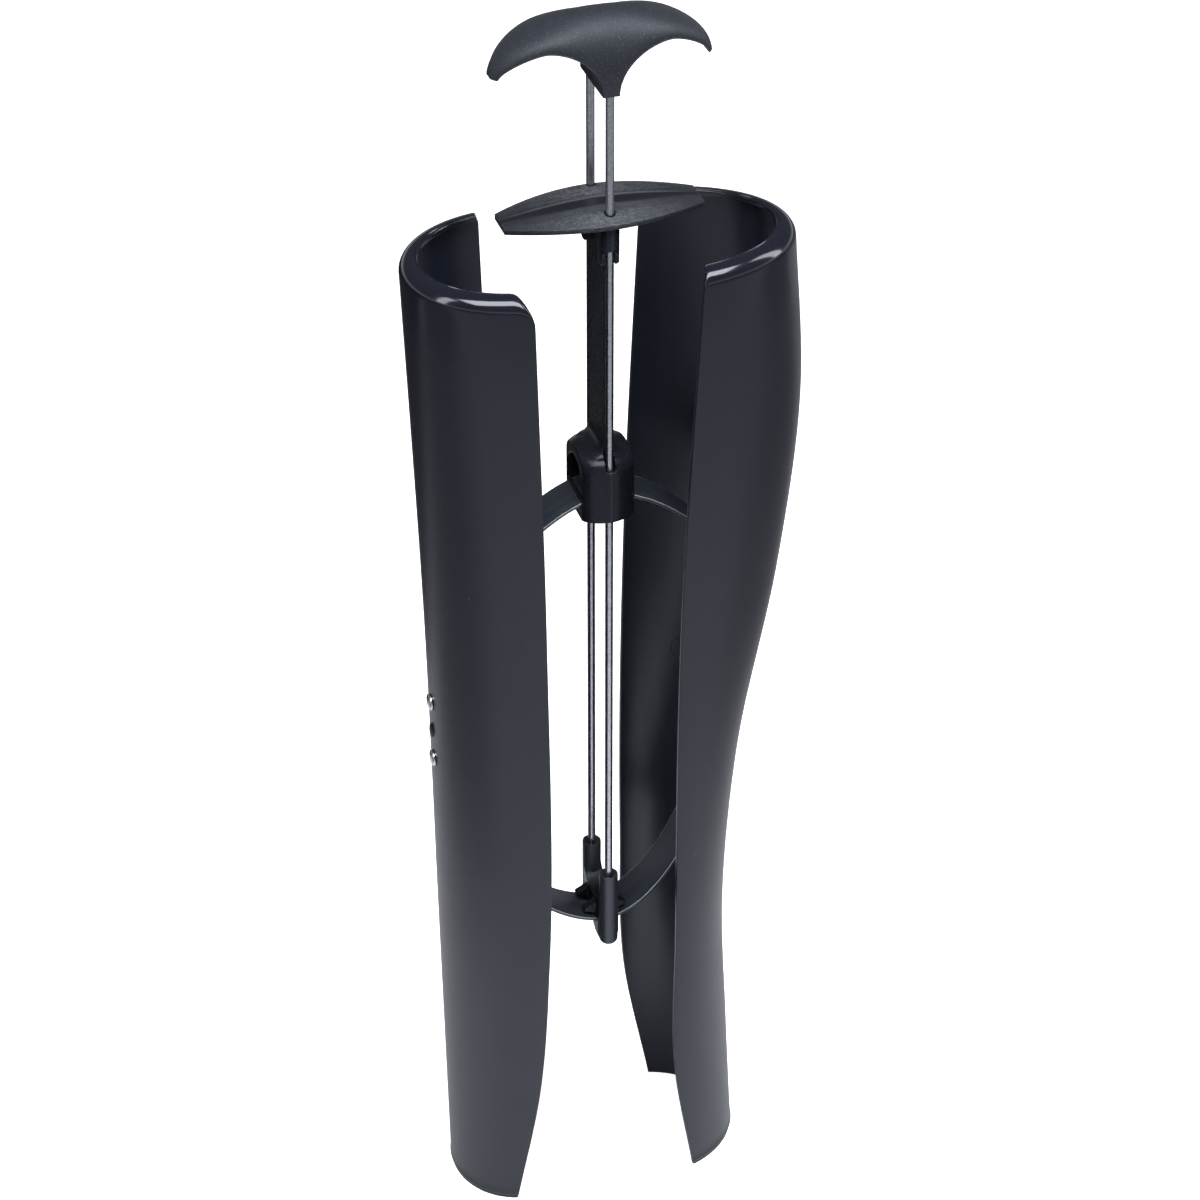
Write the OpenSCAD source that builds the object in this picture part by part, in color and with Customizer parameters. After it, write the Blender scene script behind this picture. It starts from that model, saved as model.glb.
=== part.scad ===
// Boot shaper: two half shells on spring straps, spread and drawn in by a grip on two rods.
// X runs from the front shell to the rear shell, Y across, Z up from the shells' hems.

/* [Shell heights] */
// Height of the ankle, where the shells are narrowest
ankle_z = 60; // [50:1:70]
// Height of the lower shaft
shaft_z = 130; // [115:1:145]
// Height where the calf begins
calf_low_z = 200; // [185:1:215]
// Height of the calf
calf_z = 280; // [265:1:295]
// Height of the fullest calf
full_z = 350; // [335:1:365]
// Height of the rims
rim_z = 420.2; // [405:0.5:435]

/* [Rear shell outline] */
// Reach of the rear shell at its hem
rear_hem_x = 56; // [52:0.5:60]
// Reach of the rear shell at the ankle
rear_ankle_x = 52.2; // [48:0.1:56]
// Reach of the rear shell at the lower shaft
rear_shaft_x = 48.8; // [45:0.1:52]
// Reach of the rear shell where the calf begins
rear_low_x = 53.6; // [50:0.1:57]
// Reach of the rear shell at the calf
rear_calf_x = 68.4; // [65:0.1:71]
// Reach of the rear shell at its fullest
rear_full_x = 75; // [72:0.1:78]
// Reach of the rear shell at its rim
rear_rim_x = 70.6; // [69:0.1:74]
// Distance of the rear shell's long edges from the middle, at the hem
rear_edge_hem_x = 31.2; // [30:0.1:34]
// The same at the ankle
rear_edge_ankle_x = 21; // [20:0.1:24]
// The same at the shaft
rear_edge_shaft_x = 19.7; // [19.5:0.1:22]
// The same at the calf
rear_edge_calf_x = 20.5; // [19.5:0.1:24]
// The same at the rim
rear_edge_rim_x = 26.3; // [24:0.1:30]
// Centre of the rear shell's curve
rear_centre_x = 19; // [15:0.5:19]

/* [Front shell outline] */
// Reach of the front shell at its hem
front_hem_x = 63.4; // [61:0.1:66]
// Reach of the front shell at the shaft
front_shaft_x = 64.9; // [62:0.1:68]
// Reach of the front shell at the calf
front_calf_x = 66.9; // [64:0.1:70]
// Reach of the front shell at the fullest calf
front_full_x = 69; // [66:0.1:72]
// Reach of the front shell at its rim
front_rim_x = 71.4; // [69:0.1:75]
// Distance of the front shell's long edges from the middle, at the hem
front_edge_hem_x = 43.7; // [41:0.1:46]
// The same at the ankle
front_edge_ankle_x = 35; // [33:0.1:38]
// The same at the shaft
front_edge_shaft_x = 31.6; // [30.5:0.1:34]
// The same at the calf
front_edge_calf_x = 31.1; // [30.5:0.1:34]
// The same at the rim
front_edge_rim_x = 34.4; // [32:0.1:37]
// Centre of the front shell's curve
front_centre_x = 30; // [26:0.5:30]
// The same at the hem, where the shell is rounder
front_centre_hem_x = 37; // [30:0.5:40]

/* [Shell sides] */
// Half width of the front shell at the hem
front_side_hem_y = 28; // [26:0.1:31]
// Half width of the rear shell at the hem
rear_side_hem_y = 32.2; // [30:0.1:34]
// Half width of both shells at the shaft
side_shaft_y = 36.2; // [34:0.1:38]
// Half width of both shells at the calf
side_calf_y = 35.2; // [33:0.1:38]
// Half width of both shells at the rim
side_rim_y = 36.3; // [34:0.1:38]
// Wall thickness of the shells
wall = 1.8; // [1.4:0.1:2.4]
// Radius of the rim's rolled shoulder
shoulder_r = 5.5; // [4:0.1:6]
// Width of the rim, inwards from the outer wall
rim_w = 6.9; // [6.5:0.1:9]
// Drop of the rim's flange towards its inner edge
rim_drop = 0.4; // [0.1:0.1:1]
// Distance that the rim's inner edge stops short of the shell's long edges
rim_trim = 3; // [0:0.1:4]
// Radius of the front shell's rounded near corner
corner_r = 7; // [6:0.5:14]
// Radius of the shells' other top corners
square_corner_r = 1.5; // [1:0.1:3]

/* [Strap seats] */
// Height of the seats' middle on the shells
seat_z = 223.5; // [215:0.5:232]
// Thickness of the pad that the strap lies on, inside the wall
pad_t = 1.6; // [1:0.1:2.2]
// Half width of the seat pads
pad_half_w = 9.5; // [9.2:0.1:10.5]
// Half height of the seat pads
pad_half_h = 27; // [24:0.5:30]
// Distance of each rivet from the seat's middle
rivet_pitch = 13; // [11:0.5:15]
// Distance of each strap's end from the seat's middle
strap_end_gap = 5.2; // [4.6:0.1:6.5]

/* [Straps] */
// Clearance between the straps' edges and the rods
strap_side_gap = 0.9; // [0.8:0.1:2]
// Thickness of the straps
strap_t = 1.2; // [0.9:0.1:1.4]
// Height of the upper strap's crest
upper_crest_z = 319.5; // [312:0.5:326]
// Height of the lower strap's lowest point
lower_crest_z = 122.3; // [115:0.5:130]
// Length of the flat end that lies on the seat
strap_tab = 21.5; // [20:0.5:24]
// Length of the crest's straight pull on the bow
crest_pull = 25; // [20:0.5:30]
// Length of the seat's straight pull on the bow
seat_pull = 31; // [26:0.5:36]

/* [Rivets and pegs] */
// Diameter of the rivets' shanks
shank_d = 3.2; // [2.8:0.1:3.6]
// Diameter of the rivets' heads
rivet_head_d = 6.5; // [6:0.1:8]
// Height of the rivets' heads
rivet_head_h = 1.5; // [1.2:0.1:2]
// Diameter of the washers
washer_d = 7; // [6.5:0.1:8]
// Thickness of the washers
washer_t = 0.6; // [0.4:0.1:0.8]
// Clearance round the shanks
shank_gap = 0.05; // [0.02:0.01:0.1]
// Height of the lens-shaped pegs
peg_h = 6.8; // [6:0.1:8]
// Width of the lens-shaped pegs
peg_w = 2.8; // [2.4:0.1:3.2]
// Distance that the pegs stand out of the wall
peg_proud = 1.1; // [0.6:0.1:1.5]

/* [Rods] */
// Diameter of the rods
rod_d = 3; // [2.6:0.1:3.2]
// Distance between the rods
rod_spacing = 22; // [21.6:0.1:23]
// Thickness of the clip's domes under the rods
rod_floor = 3.7; // [3:0.1:5]
// Depth of the handle over the rods' upper ends
rod_roof = 13.5; // [12.5:0.1:16]
// Clearance round the rods where parts run on them
run_gap = 0.08; // [0.05:0.01:0.1]
// Clearance round the rods where they are pressed in
press_gap = 0.01; // [0.01:0.01:0.02]

/* [Handle] */
// Half width of the palm handle
grip_half_w = 39.2; // [37:0.1:43]
// Wall of the palm handle outside the rods
grip_wall = 0.5; // [0.5:0.1:2]
// Free height of the rods between the finger plate and the handle's stem
free_run = 47.4; // [46:0.1:52]
// Rise of the handle's crown over the stem's lower face
crown_rise = 26.9; // [25:0.1:29]
// Rise of the handle's tips over the stem's lower face
tip_rise = 7.3; // [5:0.1:9]
// Half thickness of the stem
stem_half_t = 2.9; // [2.6:0.1:4]
// Thickness of the handle over its hollows
hollow_roof = 9.4; // [8:0.1:11]
// Distance of the hollows' highest line from the stem's middle
hollow_x = 21.5; // [19:0.1:24]
// Depth of the crown's curve over the handle's straight sides
crown_depth = 16.3; // [14:0.1:18]

/* [Finger plate] */
// Half width of the finger plate
plate_half_w = 36; // [33:0.5:39]
// Half depth of the plate at its middle
plate_half_d = 16.4; // [15.5:0.1:18]
// Half depth of the plate at its tips
plate_tip_d = 6.4; // [6:0.1:8]
// Height of the plate's edge at its tips
plate_z = 432; // [430:0.1:434]
// Thickness of the plate's edge
plate_t = 1.8; // [1.5:0.1:2.4]
// Rise of the plate's ridges over its edge
ridge_rise = 2.8; // [2:0.1:3.4]
// Rise of the plate's valley over its edge
valley_rise = 1.7; // [1.2:0.1:2.2]
// Distance of the ridges from the middle
ridge_y = 10.4; // [9:0.1:10.6]
// Arch of the plate's edge from the tips to the middle
plate_arch = 1.2; // [0:0.1:2]

/* [Slide post] */
// Thickness of the blade between the rods
blade_t = 2.7; // [2:0.1:3.5]
// Half width of the blade
blade_half_w = 9; // [8:0.1:9.2]
// Outer radius of the collars round the rods
collar_r = 3.4; // [3:0.1:4.2]
// Length of the collars under the plate
collar_len = 15.8; // [12:0.1:22]
// Height of the arched notch at the collars' lower ends
notch_h = 6.4; // [4:0.1:8]
// Distance of the collars' flat inner edges from the middle
collar_edge_y = 8; // [7:0.1:8.4]
// Radius of the strap hub
hub_r = 14; // [13.4:0.1:15.5]
// Distance of the hub's flats from the middle
hub_flat_x = 9.8; // [9.2:0.1:11]
// Drop of the hub's lower face under the strap's crest
hub_drop = 8.5; // [7:0.1:11]
// Rise of the dome's foot over the strap's crest
dome_rise = 13.5; // [12:0.1:16]
// Height of the dome
dome_h = 6; // [5:0.1:8]
// Height of the window over the strap's crest
window_rise = 13.8; // [11:0.1:14.5]
// Half width of the open slots in the dome beside the rods
slot_half_w = 1.9; // [1.7:0.1:2.4]
// Clearance between the straps and the windows that hold them
strap_gap = 0.4; // [0.3:0.05:0.6]

/* [Rod clip] */
// Outer radius of the clip's sleeves
sleeve_r = 3.7; // [3.2:0.1:4.4]
// Rise of the sleeves' upper ends over the strap
sleeve_rise = 24.7; // [20:0.1:30]
// Drop of the sleeves' domed lower ends under the strap
sleeve_drop = 10; // [9:0.1:11]
// Depth of the cup at the top of each sleeve
cup_depth = 1.6; // [1:0.1:2.4]
// Half thickness of the clip's web
web_half_t = 3.6; // [3:0.1:4.5]
// Rise of the web's valley over the strap
web_valley_rise = 8.4; // [6:0.1:11]
// Rise of the web over the strap, at the sleeves
web_rise = 17.7; // [15:0.1:21]
// Half thickness of the clip's foot, round the strap
foot_half_t = 4.3; // [4:0.1:6]
// Drop of the keel's lower face under the strap
keel_drop = 8.9; // [7:0.1:9.4]
// Reach of the hooks that hold the strap
hook_reach = 8.5; // [7.5:0.1:10]

/* [Hidden] */
eps = 0.01;
strap_w = rod_spacing - rod_d - 2 * strap_side_gap;
// Sign of X on the two sides
FRONT = -1;
REAR = 1;

// Heights and reaches along each outline
rear_reach = [[0, rear_hem_x], [ankle_z, rear_ankle_x], [shaft_z, rear_shaft_x],
    [calf_low_z, rear_low_x], [calf_z, rear_calf_x], [full_z, rear_full_x], [rim_z, rear_rim_x]];
rear_edge = [[0, rear_edge_hem_x], [ankle_z, rear_edge_ankle_x], [shaft_z, rear_edge_shaft_x],
    [calf_z, rear_edge_calf_x], [rim_z, rear_edge_rim_x]];
front_reach = [[0, front_hem_x], [shaft_z, front_shaft_x], [calf_z, front_calf_x],
    [full_z, front_full_x], [rim_z, front_rim_x]];
front_edge = [[0, front_edge_hem_x], [ankle_z, front_edge_ankle_x], [shaft_z, front_edge_shaft_x],
    [calf_z, front_edge_calf_x], [rim_z, front_edge_rim_x]];
upper_side = [[shaft_z, side_shaft_y], [calf_z, side_calf_y], [rim_z, side_rim_y]];
rear_side = concat([[0, rear_side_hem_y]], upper_side);
front_side = concat([[0, front_side_hem_y]], upper_side);
front_centre = [[0, front_centre_hem_x], [shaft_z, front_centre_x], [rim_z, front_centre_x]];

function reach_of(s) = s == FRONT ? front_reach : rear_reach;
function edge_of(s) = s == FRONT ? front_edge : rear_edge;
function side_of(s) = s == FRONT ? front_side : rear_side;
function centre_of(s, z) = s == FRONT ? flow(front_centre, z) : rear_centre_x;

// A smooth line through the knots, with a slope at each knot between its neighbours'
function slope(k, i) = (k[i + 1][1] - k[i][1]) / (k[i + 1][0] - k[i][0]);
function span(k, i) = k[i + 1][0] - k[i][0];
function tangent(k, i) =
    i == 0 ? slope(k, 0) :
    i == len(k) - 1 ? slope(k, i - 1) :
    (slope(k, i - 1) * span(k, i) + slope(k, i) * span(k, i - 1)) / (span(k, i) + span(k, i - 1));
function piece(k, z, i = 0) = i >= len(k) - 2 || z < k[i + 1][0] ? i : piece(k, z, i + 1);
function hermite(k, i, h, x) =
    (2 * x ^ 3 - 3 * x ^ 2 + 1) * k[i][1] + (x ^ 3 - 2 * x ^ 2 + x) * h * tangent(k, i)
    + (3 * x ^ 2 - 2 * x ^ 3) * k[i + 1][1] + (x ^ 3 - x ^ 2) * h * tangent(k, i + 1);
function flow(k, z) =
    let (top = k[len(k) - 1][0], c = min(max(z, k[0][0]), top), i = piece(k, c), h = span(k, i))
    hermite(k, i, h, (c - k[i][0]) / h);

// Seat of the straps on a shell: the pad's face, its middle and its lean
lean_step = 6;
function seat_lean(s) =
    atan((flow(reach_of(s), seat_z + lean_step) - flow(reach_of(s), seat_z - lean_step))
        / (2 * lean_step));
function seat_x(s) = flow(reach_of(s), seat_z) - wall - pad_t;
function seat_face(s, z) = seat_x(s) + (z - seat_z) * tan(seat_lean(s));
function on_seat(s, out, up) =
    [s * (seat_x(s) + out * cos(seat_lean(s)) + up * sin(seat_lean(s))),
     seat_z + up * cos(seat_lean(s)) - out * sin(seat_lean(s))];

// Shell skin: one section of the wall at each angle, joined into a closed mesh
shell_rings = 30;
shoulder_steps = 5;
field_steps = 7;
pad_steps = 4;
edge_run = [0, 0.9, 2.6, 5.2, 8.4, 12.5];
pad_edge = 0.5;

function curve_angle(s, z) =
    let (c = centre_of(s, z))
    acos((flow(edge_of(s), z) - c) / (flow(reach_of(s), z) - c));
function wall_point(s, z, a, inset) =
    let (c = centre_of(s, z), rx = flow(reach_of(s), z) - c, ry = flow(side_of(s), z),
         nx = ry * cos(a), ny = rx * sin(a), n = norm([nx, ny]))
    [c + rx * cos(a) - inset * nx / n, ry * sin(a) - inset * ny / n];

// Angles across a shell: close steps at the long edges and at the pad's sides
function half_angles(s, z) =
    let (a_end = curve_angle(s, z), rx = flow(reach_of(s), z) - centre_of(s, z),
         ry = flow(side_of(s), z),
         a_pad = asin(pad_half_w / ry), a_out = asin((pad_half_w + pad_edge) / ry),
         a_run = a_end - edge_run[len(edge_run) - 1] / rx * 180 / PI)
    concat(
        [for (i = [0:pad_steps]) a_pad * i / pad_steps],
        [for (i = [0:field_steps]) a_out + (a_run - a_out) * i / field_steps],
        [for (i = [len(edge_run) - 2:-1:0]) a_end - edge_run[i] / rx * 180 / PI]);
function all_angles(s, z) =
    let (h = half_angles(s, z), n = len(h))
    concat([for (i = [n - 1:-1:1]) -h[i]], h);

// Height of the rim above a point near a long edge, where the corner is rounded
function corner_at(s, a) = s == FRONT && a < 0 ? corner_r : square_corner_r;
function rim_height(s, a) =
    let (run = wall_point(s, rim_z, a, 0)[0] - flow(edge_of(s), rim_z), r = corner_at(s, a))
    run >= r ? rim_z : rim_z - r + sqrt(max(0, r ^ 2 - (r - run) ^ 2));

// Rings: [height, outer inset, height of the inner wall, inner inset], from hem to flange
wall_top = rim_z - shoulder_r;
pad_rings = [seat_z - pad_half_h - pad_edge, seat_z - pad_half_h,
    seat_z + pad_half_h, seat_z + pad_half_h + pad_edge];
ring_step = wall_top / shell_rings;
even_rings = [for (i = [0:shell_rings]) let (z = i * ring_step)
    if (min([for (p = pad_rings) abs(p - z)]) > ring_step / 3) z];
function sorted_with(list, extra) =
    concat([for (z = list) if (z < extra[0]) z], extra[0], extra[1],
        [for (z = list) if (z > extra[1] && z < extra[2]) z], extra[2], extra[3],
        [for (z = list) if (z > extra[3]) z]);
inner_r = shoulder_r - wall;
rings = concat(
    [for (z = sorted_with(even_rings, pad_rings)) [z, 0, z, wall]],
    [for (i = [1:shoulder_steps]) let (a = 90 * i / shoulder_steps)
        [wall_top + shoulder_r * sin(a), shoulder_r * (1 - cos(a)),
         wall_top + inner_r * sin(a), shoulder_r - inner_r * cos(a)]],
    [[rim_z - rim_drop, rim_w, rim_z - rim_drop - wall, rim_w]]);

// Where the seat pad thickens the wall, its inner point lies on the pad's flat face
function in_pad(z, a, ry) =
    abs(z - seat_z) <= pad_half_h + eps && abs(ry * sin(a)) <= pad_half_w + eps;
function inner_point(s, z, a, inset) =
    let (p = wall_point(s, z, a, inset))
    in_pad(z, a, flow(side_of(s), z)) ? [min(p[0], seat_face(s, z)), p[1]] : p;
corner_start = wall_top - corner_r;
function lowered(s, a, z) =
    z <= corner_start ? z :
    corner_start + (z - corner_start) * (rim_height(s, a) - corner_start) / (rim_z - corner_start);
// The rolled rim draws back from the long edges as it turns inwards
function trimmed(s, a, r) = a - sign(a) * (abs(a) / curve_angle(s, rim_z)) ^ 6
    * rim_trim * r[1] / rim_w / (flow(reach_of(s), rim_z) - centre_of(s, rim_z)) * 180 / PI;
function shell_points(s) =
    let (top_angles = all_angles(s, rim_z), n = len(top_angles))
    [for (inside = [false, true], r = rings)
        let (z = inside ? r[2] : r[0], angles = all_angles(s, z))
        for (j = [0:n - 1])
            let (a = trimmed(s, angles[j], r),
                 p = inside ? inner_point(s, z, a, r[3]) : wall_point(s, z, a, r[1]))
            [s * p[0], p[1], lowered(s, top_angles[j], z)]];

// Triangles of the skin: outer and inner walls, hem, flange edge and the two long edges
function quad(a, b, c, d, flip) = flip ? [[a, c, b], [a, d, c]] : [[a, b, c], [a, c, d]];
function flat(lists) = [for (l = lists, t = l) t];
function shell_faces(s) =
    let (n = len(all_angles(s, rim_z)), m = len(rings), inner = n * m, f = s == REAR)
    flat(concat(
        [for (i = [0:m - 2], j = [0:n - 2]) let (p = i * n + j)
            quad(p, p + 1, p + n + 1, p + n, f)],
        [for (i = [0:m - 2], j = [0:n - 2]) let (p = inner + i * n + j)
            quad(p, p + n, p + n + 1, p + 1, f)],
        [for (j = [0:n - 2])
            quad(j, inner + j, inner + j + 1, j + 1, f)],
        [for (j = [0:n - 2]) let (p = (m - 1) * n + j)
            quad(p, p + 1, inner + p + 1, inner + p, f)],
        [for (i = [0:m - 2]) let (p = i * n)
            quad(p, p + n, inner + p + n, inner + p, f)],
        [for (i = [0:m - 2]) let (p = i * n + n - 1)
            quad(p, inner + p, inner + p + n, p + n, f)]));

module half_shell(s) {
    difference() {
        polyhedron(shell_points(s), shell_faces(s));
        for (up = [-rivet_pitch, rivet_pitch])
            on_seat_axis(s, -pad_half_w, up)
                cylinder(h = 2 * pad_half_w, d = shank_d + 2 * shank_gap, $fn = 32);
        on_seat_axis(s, -pad_half_w, 0) lens(2 * pad_half_w, shank_gap);
    }
}

// Places children on a seat, with +Z pointing out of the shell and +X up the seat
module on_seat_axis(s, out, up) {
    p = on_seat(s, out, up);
    translate([p[0], 0, p[1]])
        mirror([s == FRONT ? 1 : 0, 0, 0])
            rotate([0, 90 + seat_lean(s), 0])
                mirror([1, 0, 0]) children();
}

module lens(height, gap) {
    half_w = peg_w / 2 + gap;
    half_h = peg_h / 2 + gap;
    r = (half_w ^ 2 + half_h ^ 2) / (2 * half_w);
    linear_extrude(height)
        intersection_for (side = [-1, 1])
            translate([0, side * (r - half_w)]) circle(r, $fn = 64);
}

module front_shell() {
    color("#2b2e37") half_shell(FRONT);
}

module rear_shell() {
    color("#2b2e37") half_shell(REAR);
}

// Rivet head outside, shank through wall, pad, strap and washer, clinched end inside
stack_in = strap_t + washer_t;
clinch_h = 0.9;
clinch_d = 4.6;
rivet_floor = wall + pad_t;
module rivet(s, up) {
    color("#c9ccd0")
        on_seat_axis(s, -stack_in - clinch_h, up)
            rotate_extrude($fn = 48)
                polygon(concat(
                    [[0, 0], [clinch_d / 2 - 0.4, 0], [clinch_d / 2, 0.4], [clinch_d / 2, clinch_h],
                     [shank_d / 2, clinch_h], [shank_d / 2, head_base(s, up)],
                     [rivet_head_d / 2, head_base(s, up)]],
                    [for (a = [20:14:90]) [rivet_head_d / 2 * cos(a),
                        head_base(s, up) + rivet_head_h * sin(a)]],
                    [[0, head_base(s, up) + rivet_head_h]]));
}

// Height of the wall's outer face over the clinched end
function wall_out(s, up) =
    let (p = on_seat(s, 0, up), outer = flow(reach_of(s), p[1]))
    (outer - abs(p[0])) / cos(seat_lean(s));
head_seat_gap = 0.02;
function head_base(s, up) = stack_in + clinch_h + wall_out(s, up) + head_seat_gap;

module washer(s, up) {
    color("#b9bcc0")
        on_seat_axis(s, -stack_in + head_seat_gap, up)
            difference() {
                cylinder(h = washer_t - 2 * head_seat_gap, d = washer_d, $fn = 48);
                translate([0, 0, -1])
                    cylinder(h = washer_t + 2, d = shank_d + 2 * shank_gap, $fn = 48);
            }
}

module peg(s) {
    color("#15171c")
        on_seat_axis(s, -strap_t, 0) lens(strap_t + wall_out(s, 0) + peg_proud, 0);
}

// Strap: a bow through a crest point, two seats' ends and flat tabs on the seats
bow_steps = 14;
function bezier(a, b, c, d, t) =
    a * (1 - t) ^ 3 + b * 3 * t * (1 - t) ^ 2 + c * 3 * t ^ 2 * (1 - t) + d * t ^ 3;
function bow(s, dir, crest_z) =
    let (foot = on_seat(s, -strap_t / 2, dir * strap_tab),
         pull = on_seat(s, -strap_t / 2, dir * (strap_tab + seat_pull)))
    [for (i = [1:bow_steps])
        bezier([0, crest_z], [s * crest_pull, crest_z], pull, foot, i / bow_steps)];
function strap_line(dir, crest_z) =
    let (front = bow(FRONT, dir, crest_z), rear = bow(REAR, dir, crest_z))
    concat([on_seat(FRONT, -strap_t / 2, dir * strap_end_gap)],
        [for (i = [bow_steps - 1:-1:0]) front[i]], [[0, crest_z]], rear,
        [on_seat(REAR, -strap_t / 2, dir * strap_end_gap)]);
function unit(v) = v / norm(v);
function offset_line(l, d) =
    [for (i = [0:len(l) - 1])
        let (t = unit(l[min(i + 1, len(l) - 1)] - l[max(i - 1, 0)]))
        l[i] + d * [-t[1], t[0]]];
function reversed(l) = [for (i = [len(l) - 1:-1:0]) l[i]];

module strap_band(dir, crest_z, half_t, width) {
    l = strap_line(dir, crest_z);
    translate([0, width / 2, 0])
        rotate([90, 0, 0])
            linear_extrude(width)
                polygon(concat(offset_line(l, half_t), reversed(offset_line(l, -half_t))));
}

seat_skim = 0.02;
module strap(dir, crest_z) {
    color("#22252c")
        difference() {
            strap_band(dir, crest_z, strap_t / 2 - seat_skim, strap_w);
            for (s = [FRONT, REAR])
                on_seat_axis(s, -pad_half_w, dir * rivet_pitch)
                    cylinder(h = 2 * pad_half_w, d = shank_d + 2 * shank_gap, $fn = 32);
        }
}

module upper_strap() {
    strap(1, upper_crest_z);
}

module lower_strap() {
    strap(-1, lower_crest_z);
}

// Heights of the rod clip, from the lower strap's lowest point
sleeve_top_z = lower_crest_z + sleeve_rise;
sleeve_low_z = lower_crest_z - sleeve_drop;
web_valley_z = lower_crest_z + web_valley_rise;
web_high_z = lower_crest_z + web_rise;
keel_z = lower_crest_z - keel_drop;

// Rods, pressed into the handle up to a stop under its crown
rod_y = rod_spacing / 2;
stem_z = plate_z + free_run;
grip_top_z = stem_z + crown_rise;
rod_top_z = grip_top_z - rod_roof;
grip_half_d = rod_y + rod_d / 2 + grip_wall;
rod_low_z = sleeve_low_z + rod_floor;
module rod(y) {
    color("#d4d6da")
        translate([0, y, rod_low_z])
            cylinder(h = rod_top_z - rod_low_z, d = rod_d, $fn = 32);
}

module front_rod() {
    rod(-rod_y);
}

module back_rod() {
    rod(rod_y);
}

// Palm handle: rings of one closed outline, narrower towards the tips
tip_z = stem_z + tip_rise;
hollow_z = grip_top_z - hollow_roof;
grip_side_z = grip_top_z - crown_depth;
grip_rows = 30;
grip_ring = 24;
grip_cut = 0.3;
hollow_power = 1.85;
stem_round = 0.7;
tip_power = 1.5;
tip_sink = 0.5;
crown_power = 2.2;
tip_len = 2.2;
grip_tip_x = grip_half_w - tip_len;
function grip_top(x) =
    tip_z - tip_sink + (grip_top_z - tip_z + tip_sink)
        * (1 - min(1, abs(x) / grip_half_w) ^ crown_power) ^ 0.5;
function grip_under(x) =
    let (a = abs(x))
    a <= stem_half_t ? stem_z :
    a < hollow_x ? hollow_z - (hollow_z - stem_z - stem_round)
        * (1 - (1 - ((hollow_x - a) / (hollow_x - stem_half_t)) ^ hollow_power)
            ^ (1 / hollow_power)) :
    a < grip_tip_x ? hollow_z - (hollow_z - tip_z)
        * (1 - (1 - ((a - hollow_x) / (grip_tip_x - hollow_x)) ^ tip_power) ^ (1 / tip_power)) :
    tip_z;
function grip_depth(x) = grip_half_d * (1 - (abs(x) / (grip_half_w + 0.4)) ^ 3.2) ^ 0.6;
grip_x = concat([-grip_half_w + grip_cut],
    [for (i = [1:grip_rows - 1]) let (u = sin(-90 + 180 * i / grip_rows))
        if (abs(abs(u * grip_half_w) - stem_half_t) > 1) u * grip_half_w],
    [grip_half_w - grip_cut]);
grip_stem_x = [-stem_half_t - 0.02, -stem_half_t, stem_half_t, stem_half_t + 0.02];
grip_stations = concat([for (x = grip_x) if (x < -stem_half_t - 0.5) x], grip_stem_x,
    [for (x = grip_x) if (x > stem_half_t + 0.5) x]);
// The section is a full crown over straight sides, which reach down the stem
grip_crown = 2.2;
grip_lip = 0.5;
function grip_section(x) =
    let (low = grip_under(x),
         lip = abs(x) < hollow_x ? max(low + grip_lip, grip_side_z) : low + grip_lip,
         high = max(grip_top(x), lip + grip_cut), d = grip_depth(x))
    concat([[x, d, low]],
        [for (i = [0:grip_ring]) let (a = 180 * i / grip_ring, c = cos(a), w = sin(a))
            [x, d * sign(c) * abs(c) ^ (2 / grip_crown), lip + (high - lip) * w ^ (2 / grip_crown)]],
        [[x, -d, low]]);
grip_points = [for (x = grip_stations, p = grip_section(x)) p];
function grip_faces() =
    let (m = grip_ring + 3, n = len(grip_stations))
    concat(
        flat([for (j = [0:n - 2], i = [0:m - 2]) let (p = j * m + i)
            quad(p, p + 1, p + m + 1, p + m, false)]),
        flat([for (j = [0:n - 2]) let (p = j * m)
            quad(p, p + m, p + m + m - 1, p + m - 1, false)]),
        [for (i = [1:m - 2]) [0, i + 1, i]],
        [for (i = [1:m - 2]) let (q = (n - 1) * m) [q, q + i, q + i + 1]]);

module palm_handle() {
    color("#30333d")
        difference() {
            polyhedron(grip_points, grip_faces());
            for (y = [-rod_y, rod_y])
                translate([0, y, stem_z - 1])
                    cylinder(h = rod_top_z - stem_z + 1, d = rod_d + 2 * press_gap, $fn = 32);
        }
}

// Finger plate: a lens-shaped plate with two ridges and a valley between them
plate_cols = 18;
plate_flat_z = plate_z - plate_t;
function plate_edge(x) =
    plate_tip_d + (plate_half_d - plate_tip_d) * (1 - (abs(x) / plate_half_w) ^ 1.9);
function bump(x) = 1 - (abs(x) / plate_half_w) ^ 1.6;
function arch(x) = plate_arch * (1 - (x / plate_half_w) ^ 2);
// Places across the plate, as shares of its half depth: edge, ridge, valley
ridge_at = ridge_y / plate_half_d;
valley_at = 0.18;
half_rows = [valley_at, (valley_at + ridge_at) / 2, ridge_at, (1 + ridge_at) / 2, 1];
rows = concat([for (v = reversed(half_rows)) -v], [0], half_rows);
function relief(x, v) =
    let (a = abs(v))
    a >= ridge_at ? ridge_rise * bump(x) * (1 - (a - ridge_at) / (1 - ridge_at)) :
    bump(x) * (valley_rise
        + (ridge_rise - valley_rise) * max(0, (a - valley_at) / (ridge_at - valley_at)));
plate_x = [for (i = [0:plate_cols]) plate_half_w * (2 * i / plate_cols - 1)];
plate_points = concat(
    [for (x = plate_x, v = rows) [x, v * plate_edge(x), plate_z + arch(x) + relief(x, v)]],
    [for (x = plate_x, v = rows) [x, v * (plate_edge(x) - 0.3), plate_flat_z + arch(x)]]);
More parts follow.
